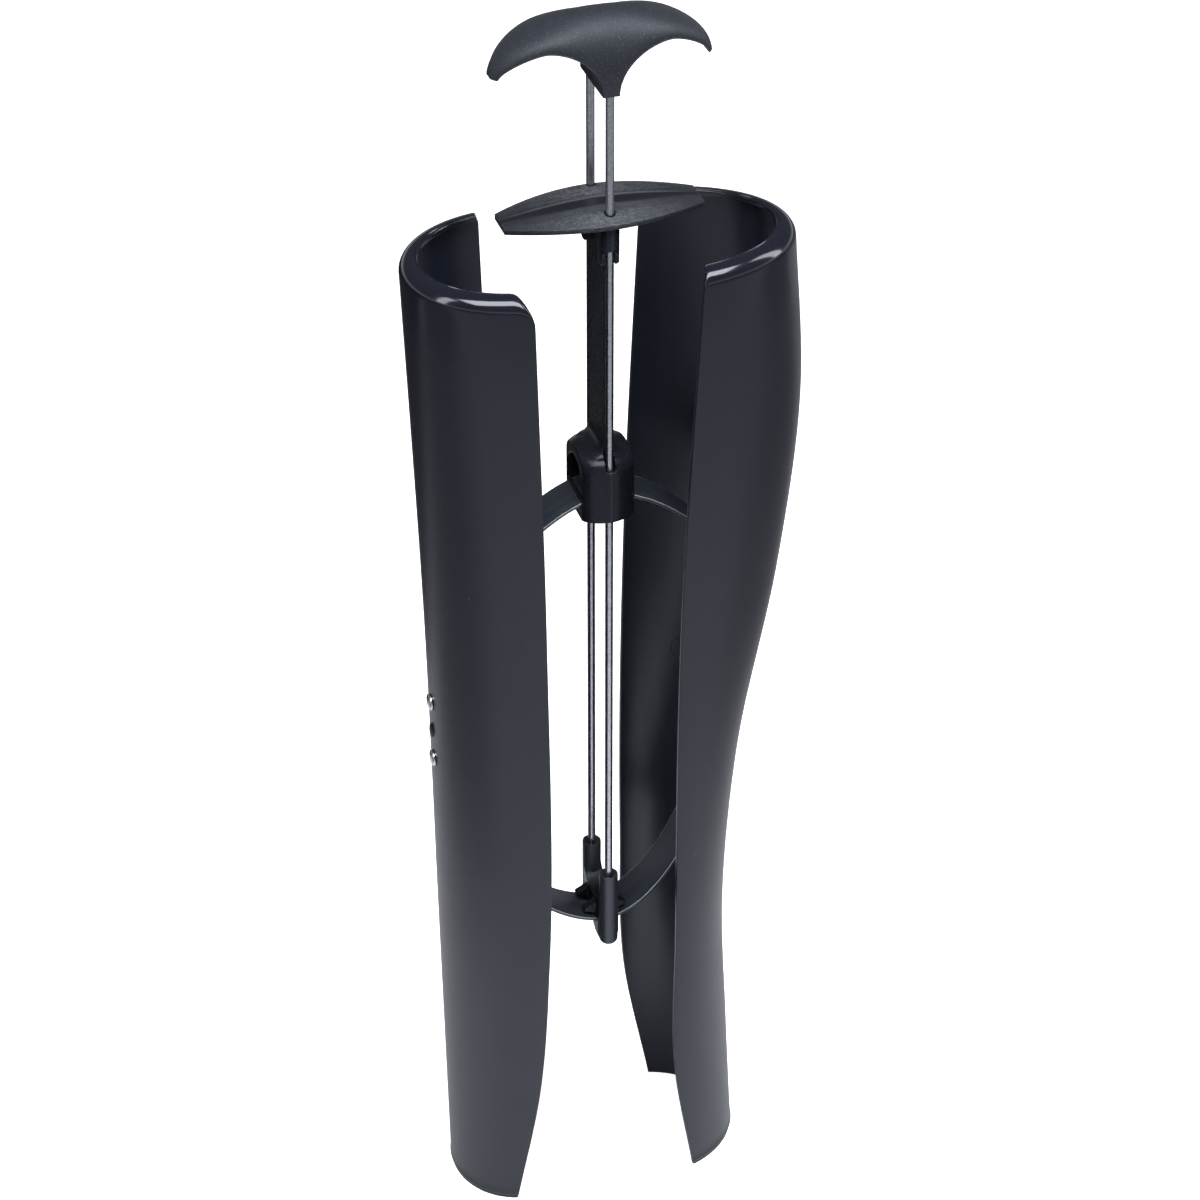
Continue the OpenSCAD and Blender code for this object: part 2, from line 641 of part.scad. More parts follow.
function plate_faces() =
    let (m = len(rows), n = plate_cols + 1, low = n * m)
    flat(concat(
        [for (j = [0:n - 2], i = [0:m - 2]) let (p = j * m + i)
            quad(p, p + 1, p + m + 1, p + m, true)],
        [for (j = [0:n - 2], i = [0:m - 2]) let (p = low + j * m + i)
            quad(p, p + 1, p + m + 1, p + m, false)],
        [for (j = [0:n - 2], e = [0, m - 1]) let (p = j * m + e)
            quad(p, p + m, low + p + m, low + p, e == 0)],
        [for (i = [0:m - 2], e = [0, n - 1]) let (p = e * m + i)
            quad(p, p + 1, low + p + 1, low + p, e != 0)]));

tenon_h = 2.4;
tenon_half_w = 6;
tenon_gap = 0.02;
rod_mouth_gap = 0.6;
plate_under_z = plate_flat_z + plate_arch;
module finger_plate() {
    color("#30333d")
        difference() {
            polyhedron(plate_points, plate_faces());
            for (y = [-rod_y, rod_y])
                translate([0, y, plate_z - 10])
                    cylinder(h = 20, d = rod_d + 2 * rod_mouth_gap, $fn = 32);
            translate([-blade_t / 2 - tenon_gap, -tenon_half_w - tenon_gap, plate_z - 10])
                cube([blade_t + 2 * tenon_gap, 2 * (tenon_half_w + tenon_gap),
                    10 - plate_t + plate_arch + tenon_h + tenon_gap]);
        }
}

// Slide post: collars, blade and strap hub in one piece
hub_low_z = upper_crest_z - hub_drop;
dome_z = upper_crest_z + dome_rise;
window_half_w = strap_w / 2 + strap_gap;
window_top_z = upper_crest_z + strap_gap + window_rise;
window_roof = 1;
collar_z = plate_under_z - collar_len;
notch_z = collar_z + notch_h;
post_top_z = plate_under_z - tenon_gap;
module slide_post() {
    color("#1d2026")
        difference() {
            union() {
                blade();
                collars();
                hub();
            }
            rod_runs();
            rod_slots();
            hub_window();
            strap_band(1, upper_crest_z, strap_t / 2 + strap_gap, strap_w + 2 * strap_gap);
        }
}

module blade() {
    translate([-blade_t / 2, -blade_half_w, window_top_z + window_roof])
        cube([blade_t, 2 * blade_half_w, post_top_z - window_top_z - window_roof]);
    translate([-blade_t / 2, -tenon_half_w, post_top_z - eps])
        cube([blade_t, 2 * tenon_half_w, tenon_h]);
}

collar_corner = 3;
module collars() {
    for (y = [-1, 1])
        intersection() {
            hull_u(y);
            collar_outline(y);
        }
}

module hull_u(y) {
    translate([0, y * rod_y, collar_z]) cylinder(h = post_top_z - collar_z, r = collar_r, $fn = 48);
    translate([-collar_r, min(y * collar_edge_y, y * rod_y), collar_z])
        cube([2 * collar_r, rod_y - collar_edge_y, post_top_z - collar_z]);
}

module collar_outline(y) {
    notch_r = 3.2;
    translate([collar_r + 1, 0, 0])
        rotate([0, -90, 0])
            linear_extrude(2 * collar_r + 2)
                mirror([0, y < 0 ? 1 : 0])
                    difference() {
                        translate([collar_z, 0])
                            square([post_top_z - collar_z, rod_y + collar_r + 1]);
                        translate([collar_z - 1, rod_y + rod_d / 2 - 0.6])
                            square([notch_z - notch_r - collar_z + 1, collar_r * 2]);
                        translate([notch_z - notch_r, rod_y + rod_d / 2 - 0.6 + notch_r])
                            circle(notch_r, $fn = 48);
                    }
}

// Hub: a round body cut by two flats, under a dome with a neck that flows into the blade
neck_r = 4.5;
neck_z = dome_z + dome_h - 0.6;
neck_root = 2.4;
module hub() {
    intersection() {
        rotate_extrude($fn = 96)
            polygon(concat([[0, hub_low_z], [hub_r, hub_low_z]],
                [for (a = [0:9:81]) [hub_r * cos(a), dome_z + dome_h * sin(a)]],
                [[0, dome_z + dome_h]]));
        translate([-hub_flat_x, -hub_r, hub_low_z])
            cube([2 * hub_flat_x, 2 * hub_r, dome_z + dome_h - hub_low_z]);
    }
    translate([0, blade_half_w, 0])
        rotate([90, 0, 0])
            linear_extrude(2 * blade_half_w)
                polygon(concat(neck_half(1), reversed(neck_half(-1))));
}

function neck_half(s) = concat(
    [[s * (blade_t / 2 + neck_r), neck_z - neck_root]],
    [for (a = [90:-15:0])
        [s * (blade_t / 2 + neck_r - neck_r * cos(a)), neck_z + neck_r - neck_r * sin(a)]]);

module rod_runs() {
    for (y = [-rod_y, rod_y])
        translate([0, y, hub_low_z - 1])
            cylinder(h = plate_z + 10 - hub_low_z, r = rod_d / 2 + run_gap, $fn = 48);
}

module rod_slots() {
    for (y = [-1, 1])
        translate([-slot_half_w, y > 0 ? blade_half_w : -hub_r - 1, dome_z])
            cube([2 * slot_half_w, hub_r + 1 - blade_half_w, 2 * dome_h]);
}

// Window for the upper strap: an arch over the strap's crest, drawn as [Y, height]
module hub_window() {
    spring_z = window_top_z - window_half_w;
    translate([-hub_flat_x - 1, 0, 0])
        rotate([90, 0, 90])
            linear_extrude(2 * hub_flat_x + 2) {
                intersection() {
                    translate([0, spring_z]) circle(window_half_w, $fn = 96);
                    translate([-hub_r, spring_z - eps]) square([2 * hub_r, hub_r]);
                }
                translate([-window_half_w, upper_crest_z])
                    square([2 * window_half_w, spring_z - upper_crest_z]);
            }
}

// Rod clip: two sleeves, web, keel and hooks, with a slot that holds the lower strap
clip_wall_y = rod_y;
module rod_clip() {
    color("#1d2026")
        difference() {
            union() {
                sleeves();
                web();
                hooks();
            }
            strap_band(-1, lower_crest_z, strap_t / 2 + strap_gap, strap_w + 2 * strap_gap);
            for (y = [-rod_y, rod_y])
                translate([0, y, rod_low_z - press_gap])
                    cylinder(h = sleeve_top_z, r = rod_d / 2 + press_gap, $fn = 48);
        }
}

module sleeves() {
    dome = sleeve_r * 0.7;
    for (y = [-rod_y, rod_y])
        translate([0, y, 0])
            rotate_extrude($fn = 48)
                polygon(concat(
                    [[0, sleeve_low_z]],
                    [for (a = [15:15:90]) [sleeve_r * sin(a), sleeve_low_z + dome * (1 - cos(a))]],
                    [[sleeve_r, sleeve_top_z], [sleeve_r - 0.6, sleeve_top_z],
                     [rod_d / 2 + 0.3, sleeve_top_z - cup_depth], [0, sleeve_top_z - cup_depth]]));
}

module web() {
    intersection() {
        translate([foot_half_t + 1, 0, 0])
            rotate([0, -90, 0])
                linear_extrude(2 * foot_half_t + 2)
                    web_front();
        translate([0, clip_wall_y, 0])
            rotate([90, 0, 0])
                linear_extrude(2 * clip_wall_y)
                    web_side();
    }
}

// Outline seen along X, drawn as [height, Y]
module web_front() {
    valley_r = (rod_y ^ 2 + (web_high_z - web_valley_z) ^ 2) / (2 * (web_high_z - web_valley_z));
    difference() {
        translate([keel_z, -clip_wall_y]) square([web_high_z - keel_z, 2 * clip_wall_y]);
        translate([web_valley_z + valley_r, 0]) circle(valley_r, $fn = 128);
    }
}

// Outline seen along Y: the web flares to the foot round the strap
module web_side() {
    polygon([[-foot_half_t + 1.2, keel_z], [foot_half_t - 1.2, keel_z],
        [foot_half_t, keel_z + 3], [foot_half_t, lower_crest_z + 2.2],
        [web_half_t, lower_crest_z + 6], [web_half_t, web_high_z],
        [-web_half_t, web_high_z], [-web_half_t, lower_crest_z + 6],
        [-foot_half_t, lower_crest_z + 2.2], [-foot_half_t, keel_z + 3]]);
}

hook_half_w = 1.6;
hook_y = 5;
module hooks() {
    for (s = [-1, 1], y = [-hook_y, hook_y])
        translate([0, y + hook_half_w, 0])
            rotate([90, 0, 0])
                linear_extrude(2 * hook_half_w)
                    polygon([[s * 3, lower_crest_z + 1.5], [s * hook_reach, lower_crest_z + 3.6],
                        [s * hook_reach, lower_crest_z + 5.2], [s * 3, lower_crest_z + 8]]);
}

front_shell();
rear_shell();
palm_handle();
front_rod();
back_rod();
finger_plate();
slide_post();
rod_clip();
upper_strap();
lower_strap();
rivet(FRONT, rivet_pitch);  // front_upper_rivet
rivet(FRONT, -rivet_pitch);  // front_lower_rivet
rivet(REAR, rivet_pitch);  // rear_upper_rivet
rivet(REAR, -rivet_pitch);  // rear_lower_rivet
washer(FRONT, rivet_pitch);  // front_upper_washer
washer(FRONT, -rivet_pitch);  // front_lower_washer
washer(REAR, rivet_pitch);  // rear_upper_washer
washer(REAR, -rivet_pitch);  // rear_lower_washer
peg(FRONT);  // front_peg
peg(REAR);  // rear_peg
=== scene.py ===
import math
import bmesh
import bpy
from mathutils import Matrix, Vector


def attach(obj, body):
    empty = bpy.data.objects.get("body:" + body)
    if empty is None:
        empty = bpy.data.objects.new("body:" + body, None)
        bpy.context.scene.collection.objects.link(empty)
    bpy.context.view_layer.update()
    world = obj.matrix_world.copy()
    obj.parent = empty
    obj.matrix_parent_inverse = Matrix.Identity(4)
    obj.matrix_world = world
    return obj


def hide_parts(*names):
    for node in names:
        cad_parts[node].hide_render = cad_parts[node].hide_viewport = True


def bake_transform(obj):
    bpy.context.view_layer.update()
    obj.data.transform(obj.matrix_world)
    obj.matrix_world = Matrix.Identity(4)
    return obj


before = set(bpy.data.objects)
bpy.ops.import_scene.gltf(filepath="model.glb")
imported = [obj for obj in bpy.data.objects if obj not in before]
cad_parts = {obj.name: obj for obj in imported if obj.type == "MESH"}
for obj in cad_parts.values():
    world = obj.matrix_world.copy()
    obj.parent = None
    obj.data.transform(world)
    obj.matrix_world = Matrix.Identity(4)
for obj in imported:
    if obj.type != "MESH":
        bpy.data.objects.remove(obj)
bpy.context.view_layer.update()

MM = 0.001
FRONT, REAR = -1, 1
UPPER, LOWER = 1, -1
SIDES = ((FRONT, "front"), (REAR, "rear"))

# Sizes in millimetres, as in the part's source

# Heights of the knots in the shells' outlines, from ankle to rim
ankle_z, shaft_z, calf_low_z, calf_z, full_z, rim_z = 60, 130, 200, 280, 350, 420.2

# Knots as (height, distance from the middle): how far out the wall stands, where its open edge
# runs, how far it reaches sideways, and the middle of its curve
upper_side = [(shaft_z, 36.2), (calf_z, 35.2), (rim_z, 36.3)]
reach = {
    REAR: [(0, 56), (ankle_z, 52.2), (shaft_z, 48.8), (calf_low_z, 53.6), (calf_z, 68.4),
           (full_z, 75), (rim_z, 70.6)],
    FRONT: [(0, 63.4), (shaft_z, 64.9), (calf_z, 66.9), (full_z, 69), (rim_z, 71.4)],
}
edge = {
    REAR: [(0, 31.2), (ankle_z, 21), (shaft_z, 19.7), (calf_z, 20.5), (rim_z, 26.3)],
    FRONT: [(0, 43.7), (ankle_z, 35), (shaft_z, 31.6), (calf_z, 31.1), (rim_z, 34.4)],
}
side = {REAR: [(0, 32.2)] + upper_side, FRONT: [(0, 28)] + upper_side}
centre = {REAR: [(0, 19), (rim_z, 19)], FRONT: [(0, 37), (shaft_z, 30), (rim_z, 30)]}

# Shell wall, rolled rim and the corners at the rim's ends
wall = 1.8
shoulder_r = 5.5
rim_w = 6.9
rim_drop = 0.4
rim_trim = 3
lip_t = 1.5
corner_r = 7
square_corner_r = 1.5
corner_low_z = rim_z - shoulder_r - corner_r

# Strap seats on the shells' inner walls
seat_z = 223.5
pad_t = 1.6
pad_half_w = 9.5
pad_half_h = 27
rivet_pitch = 13

# Spring straps
strap_w = 17.2
strap_t = 1.2
strap_gap = 0.4
strap_tab = 21.5
strap_end_gap = 5.2
upper_crest_z = 319.5
lower_crest_z = 122.3
crest_pull = 25
seat_pull = 31

# Rivets, washers and pegs
shank_d = 3.2
rivet_head_d = 6.5
rivet_head_h = 1.5
rivet_rim_h = 0.35
clinch_d = 4.6
clinch_h = 0.9
washer_d = 7
washer_t = 0.6
peg_h = 6.8
peg_w = 2.8
peg_proud = 1.1

# Rods
rod_d = 3
rod_y = 11
rod_low_z = 116
rod_top_z = 492.8

# Palm handle
grip_half_w = 39.2
grip_half_d = 13
grip_top_z = 506.3
grip_tip_z = 486.7
grip_side_z = 490
grip_tip_x = grip_half_w - 2.2
stem_z = 479.4
stem_half_t = 2.9
hollow_z = 496.9
hollow_x = 21.5

# Finger plate
plate_half_w = 36
plate_half_d = 16.4
plate_tip_d = 6.4
plate_z = 432
plate_t = 1.8
plate_arch = 1.2
ridge_rise = 2.8
ridge_y = 10.4
valley_rise = 1.7

# Slide post: blade, rod collars and hub
blade_t = 2.7
blade_half_w = 9
collar_r = 3.4
collar_z = 415.6
collar_edge_y = 8
notch_z = 422
notch_r = 3.2
hub_r = 14
hub_flat_x = 9.8
hub_low_z = 311
dome_z = 333
dome_h = 6
neck_r = 6.4
window_rise = 13.8
window_half_w = strap_w / 2 + strap_gap
window_top_z = upper_crest_z + strap_gap + window_rise
slot_half_w = 1.9
plate_gap = 0.02
post_top_z = plate_z - plate_t + plate_arch - plate_gap

# Rod clip: sleeves, web, keel and hooks
sleeve_r = 3.7
sleeve_top_z = 147
sleeve_low_z = 112.3
cup_depth = 1.6
web_half_t = 3.6
web_valley_z = 130.7
web_high_z = 140
foot_half_t = 4.3
keel_z = 113.4
keel_arch_w = 8.2
keel_arch_h = 5.8
hook_y = 5
hook_half_w = 1.6
hook_reach = 8.5


# Node helpers

def add_node(tree, kind, settings=None, **inputs):
    """A node of that kind; inputs go by socket name with _ for spaces, or by i and a number."""
    node = tree.nodes.new(kind)
    for key, value in (settings or {}).items():
        setattr(node, key, value)
    for key, value in inputs.items():
        numbered = key[0] == "i" and key[1:].isdigit()
        socket = node.inputs[int(key[1:]) if numbered else key.replace("_", " ")]
        if isinstance(value, bpy.types.NodeSocket):
            tree.links.new(value, socket)
        else:
            socket.default_value = value
    return node


class Nodes:
    """Short calls that add nodes to one shader tree and give back the output that matters."""

    def __init__(self, tree):
        self.tree = tree

    def node(self, kind, settings=None, **inputs):
        return add_node(self.tree, kind, settings, **inputs)

    def math(self, operation, a, b=0.0):
        return self.node("ShaderNodeMath", {"operation": operation}, i0=a, i1=b).outputs[0]

    def times(self, a, b):
        return self.math("MULTIPLY", a, b)

    def size(self, a):
        return self.math("ABSOLUTE", a)

    def axes(self, place):
        return self.node("ShaderNodeSeparateXYZ", Vector=place).outputs[:3]

    def mix(self, share, a, b):
        return self.node("ShaderNodeMix", {"data_type": "FLOAT"}, i0=share, i2=a, i3=b).outputs[0]

    def remap(self, value, low, high, to_low=0.0, to_high=1.0, curve="LINEAR"):
        """Takes low..high to to_low..to_high and holds both ends."""
        node = self.node("ShaderNodeMapRange", {"interpolation_type": curve}, Value=value,
                         From_Min=low, From_Max=high, To_Min=to_low, To_Max=to_high)
        return node.outputs["Result"]

    def ease(self, value, low, high, to_low=0.0, to_high=1.0):
        return self.remap(value, low, high, to_low, to_high, "SMOOTHSTEP")


class Finish(Nodes):
    """One procedural finish: a Principled shader with its maps on Object coordinates."""

    def __init__(self, name, color, roughness, tint=(1, 1, 1), **fixed):
        self.material = bpy.data.materials.new(name)
        self.material.use_nodes = True
        super().__init__(self.material.node_tree)
        self.shader = self.tree.nodes["Principled BSDF"]
        fixed.update(Base_Color=(*color, 1), Roughness=roughness, Specular_Tint=(*tint, 1))
        for key, value in fixed.items():
            self.shader.inputs[key.replace("_", " ")].default_value = value
        self.coords = self.node("ShaderNodeTexCoord").outputs["Object"]

    def noise(self, scale, detail=3.0, stretch=None, roughness=0.5):
        where = self.coords
        if stretch:
            where = self.node("ShaderNodeMapping", Vector=where, Scale=stretch).outputs[0]
        return self.node("ShaderNodeTexNoise", Vector=where, Scale=scale, Detail=detail,
                         Roughness=roughness).outputs["Fac"]

    def vary(self, noise, low=0.0, high=1.0):
        """Takes the run that a noise mostly has to low..high."""
        return self.remap(noise, 0.3, 0.7, low, high)

    def attribute(self, name):
        return self.node("ShaderNodeAttribute", {"attribute_name": name}).outputs["Fac"]

    def mix_color(self, share, a, b):
        node = self.node("ShaderNodeMix", {"data_type": "RGBA"}, i0=share)
        for socket, value in ((node.inputs[6], a), (node.inputs[7], b)):
            if isinstance(value, bpy.types.NodeSocket):
                self.tree.links.new(value, socket)
            else:
                socket.default_value = (*value, 1)
        return node.outputs[2]

    def set(self, socket, value):
        self.tree.links.new(value, self.shader.inputs[socket])

    def bumps(self, layers):
        """Layers of (height, strength, distance in metres), one over the other."""
        normal = None
        for height, strength, distance in layers:
            node = self.node("ShaderNodeBump", Height=height, Strength=strength, Distance=distance)
            if normal:
                self.tree.links.new(normal, node.inputs["Normal"])
            normal = node.outputs[0]
        self.set("Normal", normal)


# Finishes, with places and depths in metres

def shell_finish():
    """Satin walls under a glossier rolled rim; inside, streaky and painted paler than outside as
    painted light.
    """
    outer_colors = (0.0056, 0.0065, 0.0118), (0.0074, 0.0084, 0.0144)
    # Painted light: the inner face's colours are painted paler than the outer face's
    inside_paler_colors = (0.0085, 0.0113, 0.0195), (0.0130, 0.0163, 0.0265)
    dust = (0.10, 0.10, 0.11)
    gloss_low_z, gloss_high_z, rim_gloss = 0.385, 0.418, 0.12
    f = Finish("shell_plastic", (0.006, 0.008, 0.014), 0.30, tint=(0.90, 0.935, 1.0),
               Specular_IOR_Level=0.60)
    inside = f.attribute("inside")
    streak = f.noise(6, stretch=(20, 20, 1))
    outer = f.mix_color(f.vary(f.noise(26)), *outer_colors)
    inner = f.mix_color(f.vary(streak), *inside_paler_colors)
    cell = f.node("ShaderNodeTexVoronoi", Vector=f.coords, Scale=80.0).outputs["Distance"]
    speck = f.times(f.remap(cell, 0.018, 0.04, 1.0, 0.0), f.remap(f.noise(21, 1), 0.60, 0.62))
    f.set("Base Color", f.mix_color(f.times(speck, 0.5), f.mix_color(inside, outer, inner), dust))
    _, _, height = f.axes(f.coords)
    near_rim = f.remap(height, gloss_low_z, gloss_high_z, curve="SMOOTHERSTEP")
    outer_gloss = f.mix(near_rim, f.vary(f.noise(11), 0.28, 0.35), rim_gloss)
    f.set("Roughness", f.mix(inside, outer_gloss, f.vary(streak, 0.28, 0.40)))
    f.bumps([(f.noise(1100, 2), 0.10, 0.00003), (f.noise(38, 1), 0.07, 0.0003)])
    return f.material


def sheen_bands(f, x, y, stretch):
    """Painted sheen on the plate's grain: a band before and one behind the smooth valley."""
    middle = f.remap(f.size(x), 0.006, 0.028, 1.0, 0.12)
    band = f.remap(f.size(y), 0.0030, 0.0050)
    patches = f.remap(f.noise(260, stretch=stretch), 0.35, 0.65, 0.4, 1.0)
    return f.times(f.times(middle, band), patches)


def sheen_band_color(f, grain, y):
    """Painted sheen on the grain, painted paler on the band behind the valley."""
    grain_sheen = f.remap(grain, 0.40, 0.62)
    before = f.mix_color(grain_sheen, (0.016, 0.018, 0.023), (0.066, 0.070, 0.080))
    behind = f.mix_color(grain_sheen, (0.020, 0.022, 0.027), (0.105, 0.110, 0.123))
    return f.mix_color(f.remap(y, -0.001, 0.001), before, behind)


def grip_finish(name, brushed):
    """Spark-eroded grain with painted glints; on the finger plate it runs along the plate and has
    painted sheen in bands.
    """
    if brushed:
        scale, stretch = 620, (1, 4.5, 4.5)
        colors = (0.0066, 0.0077, 0.0110), (0.0130, 0.0148, 0.0197)
    else:
        scale, stretch = 1900, (1, 1, 1)
        colors = (0.0098, 0.0113, 0.0158), (0.0160, 0.0181, 0.0243)
    glint_color, glint_least = (0.16, 0.165, 0.18), 0.4
    f = Finish(name, (0.015, 0.017, 0.023), 0.55, tint=(0.84, 0.91, 1.0), Specular_IOR_Level=0.38)
    rough = f.math("SUBTRACT", 1.0, f.attribute("smooth"))
    cell = f.node("ShaderNodeTexVoronoi", Vector=f.coords, Scale=5200.0).outputs["Color"]
    spark = f.remap(f.node("ShaderNodeSeparateColor", Color=cell).outputs[0], 0.972, 0.988)
    grain = f.noise(scale, 4, stretch, 0.65)
    base = f.mix_color(f.times(f.remap(grain, 0.38, 0.66), rough), *colors)
    sheen_share = 0.0
    if brushed:
        x, y, _ = f.axes(f.coords)
        # Painted sheen: the grain painted brighter in a band on each side of the valley
        sheen_share = sheen_bands(f, x, y, stretch)
        base = f.mix_color(sheen_share, base, sheen_band_color(f, grain, y))
    # Painted glints: bright specks in the base colour, most of them in the painted sheen
    glint = f.times(f.times(spark, rough), f.math("MAXIMUM", sheen_share, glint_least))
    f.set("Base Color", f.mix_color(glint, base, glint_color))
    f.set("Roughness", f.remap(rough, 0.0, 1.0, 0.36, 0.57))
    f.bumps([(f.times(grain, rough), 0.40, 0.00014)])
    return f.material


def post_finish(name, base, level, gloss):
    """Smooth moulding with clouds in its colour and a parting line down its near side."""
    f = Finish(name, base, gloss, tint=(0.82, 0.90, 1.0), Specular_IOR_Level=level)
    x, y, _ = f.axes(f.coords)
    line = f.times(f.remap(f.size(x), 0.0001, 0.00028, 1.0, 0.0),
                   f.remap(y, -0.0120, -0.0110, 1.0, 0.0))
    color = f.mix_color(f.vary(f.noise(60)), tuple(c * 0.85 for c in base),
                        tuple(c * 1.2 for c in base))
    f.set("Base Color", f.mix_color(line, color, (0.030, 0.032, 0.038)))
    f.set("Roughness", f.vary(f.noise(110), gloss - 0.04, gloss + 0.06))
    f.bumps([(line, 0.4, 0.0001)])
    return f.material


def strap_finish():
    """Satin strip with pulled streaks, paler sheared edges and a thin painted highlight along each
    corner.
    """
    f = Finish("strap_satin", (0.022, 0.025, 0.034), 0.33, tint=(0.84, 0.91, 1.0),
               Specular_IOR_Level=0.5)
    pull = f.noise(7, stretch=(1, 90, 1))
    across = f.size(f.axes(f.coords)[1])
    sheared = f.remap(across, 0.00846, 0.00854)
    # Painted highlight: a thin bright line along each corner of the strip
    corner = f.math("SUBTRACT", f.remap(across, 0.00826, 0.00834), sheared)
    satin = f.mix_color(f.vary(pull), (0.019, 0.023, 0.033), (0.036, 0.042, 0.056))
    edged = f.mix_color(sheared, satin, (0.060, 0.064, 0.074))
    f.set("Base Color", f.mix_color(corner, edged, (0.55, 0.58, 0.64)))
    f.set("Roughness", f.vary(pull, 0.30, 0.42))
    f.bumps([(f.noise(1500, 2), 0.10, 0.00005), (pull, 0.15, 0.00012)])
    return f.material


def rod_finish():
    """Drawn wire: long draw lines with a fine grain across them."""
    f = Finish("rod_steel", (0.34, 0.35, 0.38), 0.26, Metallic=1.0)
    draw = f.noise(60, 4, (30, 30, 1))
    patina = f.remap(f.noise(1500), 0.35, 0.65)
    f.set("Base Color", f.mix_color(patina, (0.41, 0.42, 0.45), (0.61, 0.62, 0.65)))
    f.set("Roughness", f.vary(draw, 0.20, 0.30))
    f.bumps([(draw, 0.20, 0.00005), (f.noise(2200, 2), 0.20, 0.00004)])
    return f.material


def nickel_finish():
    """Nickel plate, a little cloudy."""
    f = Finish("rivet_nickel", (0.72, 0.72, 0.73), 0.18, Metallic=1.0)
    f.set("Base Color", f.mix_color(f.noise(900), (0.62, 0.62, 0.64), (0.80, 0.80, 0.81)))
    f.set("Roughness", f.vary(f.noise(1500), 0.12, 0.26))
    f.bumps([(f.noise(2400, 2), 0.12, 0.00004)])
    return f.material


def washer_finish():
    """Plain pressed steel."""
    f = Finish("washer_steel", (0.56, 0.56, 0.58), 0.36, Metallic=1.0)
    f.set("Roughness", f.vary(f.noise(1100), 0.30, 0.46))
    f.bumps([(f.noise(1900, 2), 0.2, 0.00005)])
    return f.material


def peg_finish():
    """Glossy black moulding."""
    f = Finish("peg_gloss", (0.008, 0.009, 0.012), 0.16)
    f.set("Roughness", f.vary(f.noise(800, 2), 0.12, 0.22))
    f.bumps([(f.noise(1500, 2), 0.08, 0.00004)])
    return f.material


shell_plastic = shell_finish()
grip_grain = grip_finish("grip_grain", brushed=False)
plate_grain = grip_finish("plate_grain", brushed=True)
post_gloss = post_finish("post_gloss", (0.0090, 0.0105, 0.0148), level=0.24, gloss=0.26)
clip_gloss = post_finish("clip_gloss", (0.0080, 0.0090, 0.0125), level=0.30, gloss=0.34)
sleeve_satin = post_finish("sleeve_satin", (0.0290, 0.0320, 0.0410), level=0.80, gloss=0.38)
strap_satin = strap_finish()
rod_steel = rod_finish()
rivet_nickel = nickel_finish()
washer_steel = washer_finish()
peg_gloss = peg_finish()


# Mesh helpers

def sind(degrees):
    return math.sin(math.radians(degrees))


def cosd(degrees):
    return math.cos(math.radians(degrees))


def make_piece(name, points, faces, material=None, smooth=True):
    """A mesh object from points in millimetres."""
    mesh = bpy.data.meshes.new(name)
    mesh.from_pydata([(x * MM, y * MM, z * MM) for x, y, z in points], [], faces)
    mesh.validate()
    if smooth:
        mesh.shade_smooth()
    if material:
        mesh.materials.append(material)
    obj = bpy.data.objects.new(name, mesh)
    bpy.context.scene.collection.objects.link(obj)
    return obj


def baked(obj):
    """The object's evaluated mesh takes the place of its own mesh and modifiers."""
    depsgraph = bpy.context.evaluated_depsgraph_get()
    mesh = bpy.data.meshes.new_from_object(obj.evaluated_get(depsgraph), depsgraph=depsgraph)
    old = obj.data
    obj.modifiers.clear()
    obj.data = mesh
    mesh.name = obj.name
    if old.users == 0:
        bpy.data.meshes.remove(old)
    return obj


def facing_out(obj):
    """Turns every face of a closed mesh outwards."""
    bm = bmesh.new()
    bm.from_mesh(obj.data)
    bmesh.ops.recalc_face_normals(bm, faces=bm.faces)
    bm.to_mesh(obj.data)
    bm.free()
    return obj


def soften_edges(obj, width, angle):
    """Rounds edges sharper than angle, in degrees, over a width in millimetres."""
    bevel = obj.modifiers.new("edge_round", "BEVEL")
    bevel.width = width * MM
    bevel.segments = 2
    bevel.limit_method = "ANGLE"
    bevel.angle_limit = math.radians(angle)


def cut_with(obj, cutter):
    """Takes one closed mesh out of another when the object is baked."""
    boolean = obj.modifiers.new(cutter.name, "BOOLEAN")
    boolean.operation = "DIFFERENCE"
    boolean.solver = "EXACT"
    boolean.object = cutter


def mark_points(obj, name, values):
    """A number on each point, for a material to read by that name."""
    mask = obj.data.attributes.new(name, "FLOAT", "POINT")
    mask.data.foreach_set("value", values)


def band(n, k, next_k):
    """Faces from ring k to ring next_k, where each ring has n points."""
    return [(k * n + i, k * n + (i + 1) % n, next_k * n + (i + 1) % n, next_k * n + i)
            for i in range(n)]


def loft(rings):
    """Closed solid through rings of equal length, lowest first."""
    n, last = len(rings[0]), len(rings) - 1
    faces = [tuple(range(n)), tuple(last * n + i for i in range(n))]
    for k in range(last):
        faces += band(n, k, k + 1)
    return [p for ring in rings for p in ring], faces


def prism(outline, axis, low, high):
    """Closed prism: the outline's two numbers are the other two axes, in X, Y, Z order."""
    def place(p, t):
        return {"x": (t, p[0], p[1]), "y": (p[0], t, p[1]), "z": (p[0], p[1], t)}[axis]
    n = len(outline)
    points = [place(p, t) for t in (low, high) for p in outline]
    faces = [list(range(n)), list(range(2 * n - 1, n - 1, -1))]
    faces += [(i, n + i, n + (i + 1) % n, (i + 1) % n) for i in range(n)]
    return points, faces


def block(x0, x1, y0, y1, z0, z1):
    return prism([(x0, y0), (x1, y0), (x1, y1), (x0, y1)], "z", z0, z1)


